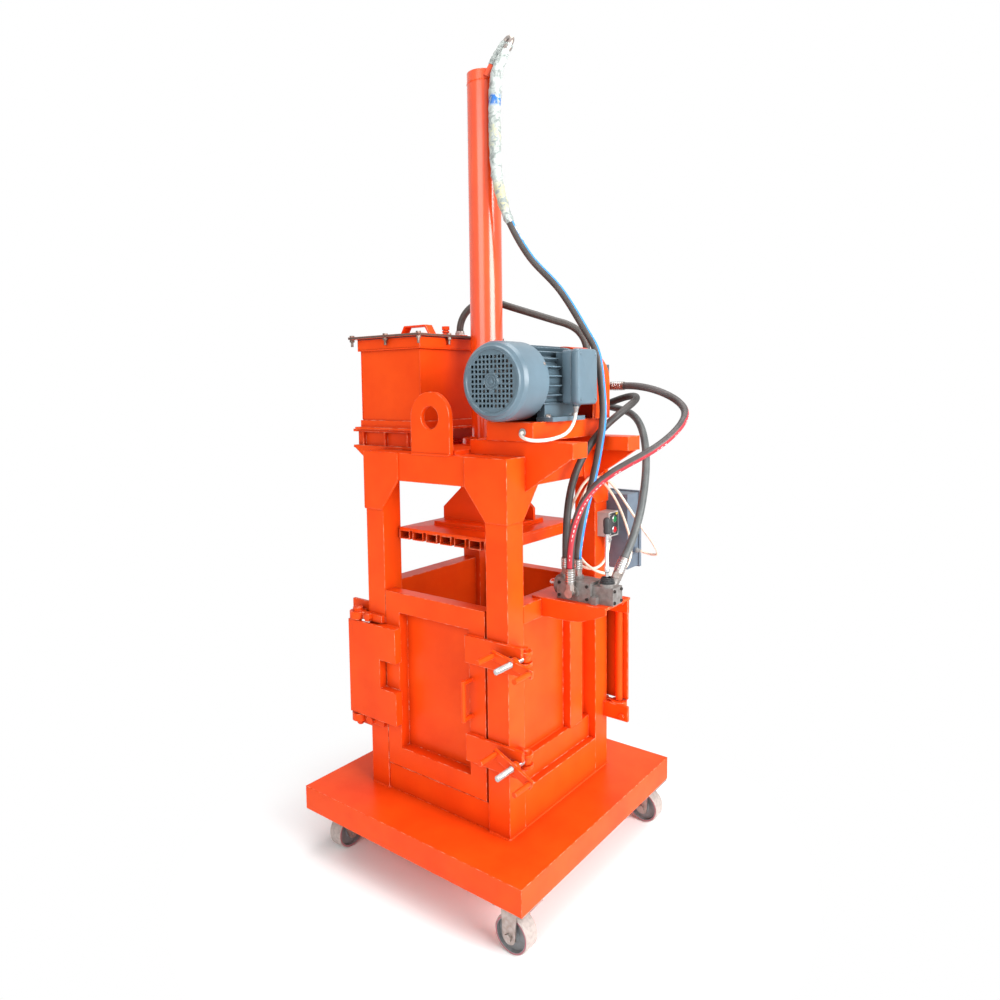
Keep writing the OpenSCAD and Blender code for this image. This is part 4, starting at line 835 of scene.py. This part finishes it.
box_shell = [plate((0.31, -0.071, 1.343), (0.3385, 0.025, 1.486), 0, 0.01, 0.002),
             plate((0.337, -0.074, 1.34), (0.363, 0.028, 1.489), 0, 0.014, 0.008),
             turned([(0, 0.0), (0.0085, 0.0), (0.0085, 0.0055), (0, 0.0055)], (0.337, -0.045, 1.3355),
                    (0, 0, 1), 6)]
box_shell += [screw((0.363, y, z), (1, 0, 0), 0.0035, 0.002) for y in (-0.06, 0.014)
              for z in (1.354, 1.475)]
piece("terminal_box_pressed", box_shell, motor_enamel, "frame", ["terminal_box"], 30)

motor_bolts = []
for x in (0.144, 0.292):
    for y in (-0.112, 0.018):
        motor_bolts += hex_bolt((x, y, 1.309), (0, 0, 1), 0.0075, 0.007)
for w in np.radians([25, 95, 165, 250]):
    radial = (math.cos(w), 0.0, math.sin(w))
    motor_bolts.append(screw((0.218 + 0.1038 * radial[0], -0.156, 1.404 + 0.1038 * radial[2]), radial,
                             0.0045, 0.002))
piece("motor_fixings", motor_bolts, zinc_plate, "frame")

# The fan cover's boss: rings pressed into the middle of the sheet steel cover, where its grille has
# no holes; they are under the same enamel.
boss = [[(0, 0.0024), (0.004, 0.0021), (0.0068, 0.0006), (0.0068, -0.0005), (0, -0.0005)],
        [(0.0115, -0.0005), (0.0118, 0.0011), (0.0132, 0.0017), (0.0146, 0.0011), (0.0149, -0.0005)],
        [(0.0186, -0.0005), (0.0189, 0.0009), (0.0201, 0.0014), (0.0213, 0.0009), (0.0216, -0.0005)]]
piece("fan_cover_boss", [turned(ring_profile + ring_profile[:1], (0.218, -0.26, 1.404), (0, -1, 0))
                         for ring_profile in boss], motor_enamel, "frame")

# The cable glands: grey tapered sleeves that hold each lead where it leaves a box, and a grommet where
# the motor's lead goes through the wall of its base, all in grey moulded nylon.
sleeve = [(0.004, -0.0005), (0.0085, -0.0005), (0.0085, 0.0045), (0.0068, 0.0065), (0.0058, 0.0165),
          (0.0046, 0.018), (0.004, 0.018)]
slim = [(0.0036, -0.0005), (0.0078, -0.0005), (0.0078, 0.0042), (0.006, 0.006), (0.0051, 0.015),
        (0.0042, 0.0162), (0.0036, 0.0162)]
grommet = [(0.0048, 0.0), (0.0095, 0.0), (0.0108, 0.0016), (0.0095, 0.0033), (0.0048, 0.0033)]
glands = [turned(sleeve, (0.337, -0.045, 1.3355), (0, 0, -1), 24),
          turned(slim, (0.285, 0.228, 0.9265), (0, 0, -1), 24),
          turned(slim, (0.3395, 0.3, 0.884), (1, 0, 0), 24),
          turned(grommet, (0.262, -0.1884, 1.271), (0, 1, 0), 28)]
piece("cable_glands", glands, moulded("nylon_moulded_grey", "#8D8E8D", "#7C7D7D", 0.5), "frame")

# The switch box: a grey moulded case screwed to the post, with a dark moulded cover.
# On the cover are a blank yellow label, four screws and a plated collar round each button.
piece("switch_cover", [plate((0.2992, 0.204, 0.9395), (0.3012, 0.254, 1.0065), 0, 0.004, 0.0008)],
      moulded("abs_moulded_charcoal", "#3B3C3E", "#2F3032", 0.45), "frame")
collars = [turned([(0.0095, 0.0), (0.0122, 0.0), (0.0122, 0.0022), (0.0112, 0.0032), (0.0095, 0.0032)],
                  (0.301, 0.229, z), (1, 0, 0), 32) for z in (0.956, 0.988)]
collars += [screw((0.3011, y, z), (1, 0, 0), 0.0022, 0.0012, 14) for y in (0.2085, 0.2495)
            for z in (0.944, 1.002)]
piece("switch_collars", collars, bright_stud, "frame")
piece("switch_label", [plate((0.301, 0.2395, 0.9995), (0.3016, 0.2525, 1.0055), 0, 0.001, 0.0002)],
      moulded("vinyl_label_yellow", "#E9C32A", "#DDB41E", 0.4), "frame")

# The control box: a moulded case and cover with a rubber seal between them.
# Four plated screws hold the cover.
piece("control_box_seal", [plate((0.1496, 0.3286, 0.8296), (0.3304, 0.3312, 1.0604), 1, 0.004, 0.0008)],
      bellows_rubber, "frame")
piece("control_box_screws", [screw((x, 0.344, z), (0, 1, 0), 0.0045, 0.0022) for x in (0.158, 0.322)
                             for z in (0.838, 1.052)], bright_stud, "frame")

# The oil tank: folded and welded sheet steel, sprayed orange.
# A flat lid with a dark brown edge lies on a rubber gasket and is bolted through.
tank_corners = ((-0.3545, -0.1755), (-0.1075, -0.1755), (-0.1075, 0.1755), (-0.3545, 0.1755))
tank_welds = weld_runs(
    *[(0.0022, (-0.361, y, 1.5055), (-0.101, y, 1.5055)) for y in (-0.1835, 0.1835)],
    *[(0.0022, (x, -0.182, 1.5055), (x, 0.182, 1.5055)) for x in (-0.3625, -0.0995)],
    *[(0.0014, (x, y, 1.295), (x, y, 1.504)) for x, y in tank_corners],
    *[(0.0026, (-0.357, y, 1.2725), (-0.104, y, 1.2725)) for y in (-0.1805, 0.1805)],
    (0.0022, *ring((-0.1065, 0.14, 1.44), (1, 0, 0), 0.0228, 32)))
piece("tank_weld_beads", tank_welds, weld_enamel, "frame")
piece("tank_gasket", [plate((-0.3626, -0.1836, 1.5372), (-0.0994, 0.1836, 1.5399), 2, 0.003, 0.0006)],
      bellows_rubber, "frame")
# The lid edge is dark brown; like every enamel here it darkens in corners with painted shade and pales on
# sharp edges, partly with a painted highlight.
lid_edge = [plate((-0.3844, -0.2014, 1.5402), (-0.0876, 0.2014, 1.5466), 2, 0.001, 0.0004, 80)]
piece("tank_lid_edge", lid_edge, sprayed_enamel("lid_edge_dark_brown", "#6A4C40", "#4E4440", "#8A6A58",
                                                "#33261F", 0.45, 1.0, 0.3), "frame")

# The castor fixings: four zinc plated hex bolts through each top plate,
# and a pressed dust ring over the balls of each swivel head.
castor_fixings = []
for x, y in ((0.348, -0.352), (0.348, 0.352), (-0.325, -0.335), (-0.325, 0.335)):
    for dx in (-0.041, 0.041):
        for dy in (-0.034, 0.034):
            castor_fixings += hex_bolt((x + dx, y + dy, 0.125), (0, 0, -1), 0.0062, 0.0055)
for y in (-0.335, 0.335):
    castor_fixings.append(turned([(0.029, 0.1183), (0.0322, 0.1185), (0.0326, 0.1205), (0.029, 0.122)],
                                 (-0.325, y, 0.0), (0, 0, 1), 40))
piece("castor_fixings", castor_fixings, zinc_plate, "frame")

# The pressing plate: steel plate on seven square tubes that are open at both ends, and a boss of two
# plates with cut corners on a base plate, which hold the socket of the rod between them. It is welded,
# then sprayed orange.


def open_tube(lo, hi, wall):
    """A square tube along y, open at both ends: the outer corners at the front and back, then the inner
    corners at the back and front, closed on itself."""
    lo, hi = np.array(lo), np.array(hi)
    corners = np.array([(0, 0), (1, 0), (1, 1), (0, 1)], float)
    size = (hi - lo)[[0, 2]]
    outer = lo[[0, 2]] + corners * size
    inner = lo[[0, 2]] + wall + corners * (size - 2 * wall)
    xz = np.stack([outer, outer, inner, inner, outer])
    y = np.array([lo[1], hi[1], hi[1], lo[1], lo[1]])[:, None]
    return np.stack([xz[..., 0], np.broadcast_to(y, (5, 4)), xz[..., 1]], -1), grid_faces(5, 4)


def cut_plate(outline, y, thick):
    """A flat plate square to y: its outline in x and z on both faces, each closed by a fan to its
    middle."""
    flat = np.array(outline, float)
    middle = np.tile(flat.mean(0), (len(flat), 1))
    xz = np.stack([middle, flat, flat, middle])
    depth = y + thick / 2 * np.array([-1, -1, 1, 1])[:, None]
    points = np.stack([xz[..., 0], np.broadcast_to(depth, xz.shape[:2]), xz[..., 1]], -1)
    return points, grid_faces(4, len(flat))


platen_lo, platen_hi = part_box("platen")
platen_top = 0.98
platen_parts = [plate((platen_lo[0], platen_lo[1], platen_top - 0.008),
                      (platen_hi[0], platen_hi[1], platen_top), 2, 0.002, 0.001),
                plate((-0.12, -0.115, platen_top - 0.0005), (0.12, 0.115, platen_top + 0.012), 2, 0.002,
                      0.001)]
for k in range(-3, 4):
    middle_x = k * (platen_hi[0] - 0.021) / 3
    platen_parts.append(open_tube((middle_x - 0.021, platen_lo[1], platen_lo[2]),
                                  (middle_x + 0.021, platen_hi[1], platen_top - 0.0075), 0.003))
boss_line = [(-0.125, 0.9918), (0.125, 0.9918), (0.125, 1.029), (0.045, 1.1), (-0.045, 1.1),
             (-0.125, 1.029)]
platen_parts += [cut_plate(boss_line, y, 0.01) for y in (-0.06, 0.06)]
platen_parts.append(turned([(0, 0.991), (0.042, 0.991), (0.042, 1.0455), (0.0405, 1.047), (0, 1.047)],
                           (0, 0, 0), (0, 0, 1), 48))
piece("platen_plate_and_boss", platen_parts, orange_enamel, "ram", stands_for=("platen",),
      sharp=30)
platen_welds = weld_runs(
    *[(0.0028, (-0.119, y, 0.9925), (0.119, y, 0.9925)) for y in (-0.0665, 0.0665)],
    *[(0.003, (-0.119, y, 0.9805), (0.119, y, 0.9805)) for y in (-0.1155, 0.1155)],
    *[(0.003, (x, -0.114, 0.9805), (x, 0.114, 0.9805)) for x in (-0.1205, 0.1205)])
piece("platen_weld_beads", platen_welds, weld_enamel, "ram")

# The valve's fixings: socket-head screws of blacked steel,
# which hold the end block and the spool cap to the casting.
socket = [(0, 0.0018), (0.0022, 0.0018), (0.0022, 0.004), (0.0036, 0.004), (0.0042, 0.0034),
          (0.0042, -0.0005), (0, -0.0005)]
valve_screws = [turned(socket, (0.466, y, z), (1, 0, 0), 24) for y in (-0.069, -0.033)
                for z in (0.8255, 0.8565)]
valve_screws += [turned(socket, (x, -0.086, z), (0, -1, 0), 24) for x in (0.308, 0.394)
                 for z in (0.828, 0.862)]
piece("valve_socket_screws", valve_screws, plated_steel("steel_blacked", "#4A4644", "#3B3836", 0.45),
      "frame")

# The relief adjuster: a chromed lock nut and a domed cap,
# screwed on to the end of the valve's spool bore.
adjuster = [turned([(0, 0), (0.0148, 0), (0.0148, 0.0075), (0.0138, 0.0085), (0, 0.0085)],
                   (0.2845, -0.052, 0.848), (-1, 0, 0), 6),
            turned([(0, 0), (0.0108, 0), (0.0108, 0.0115), (0.0088, 0.0145), (0.004, 0.0158), (0, 0.016)],
                   (0.2745, -0.052, 0.848), (-1, 0, 0), 32)]
piece("valve_adjuster_chrome", adjuster, bright, "frame", sharp=30)
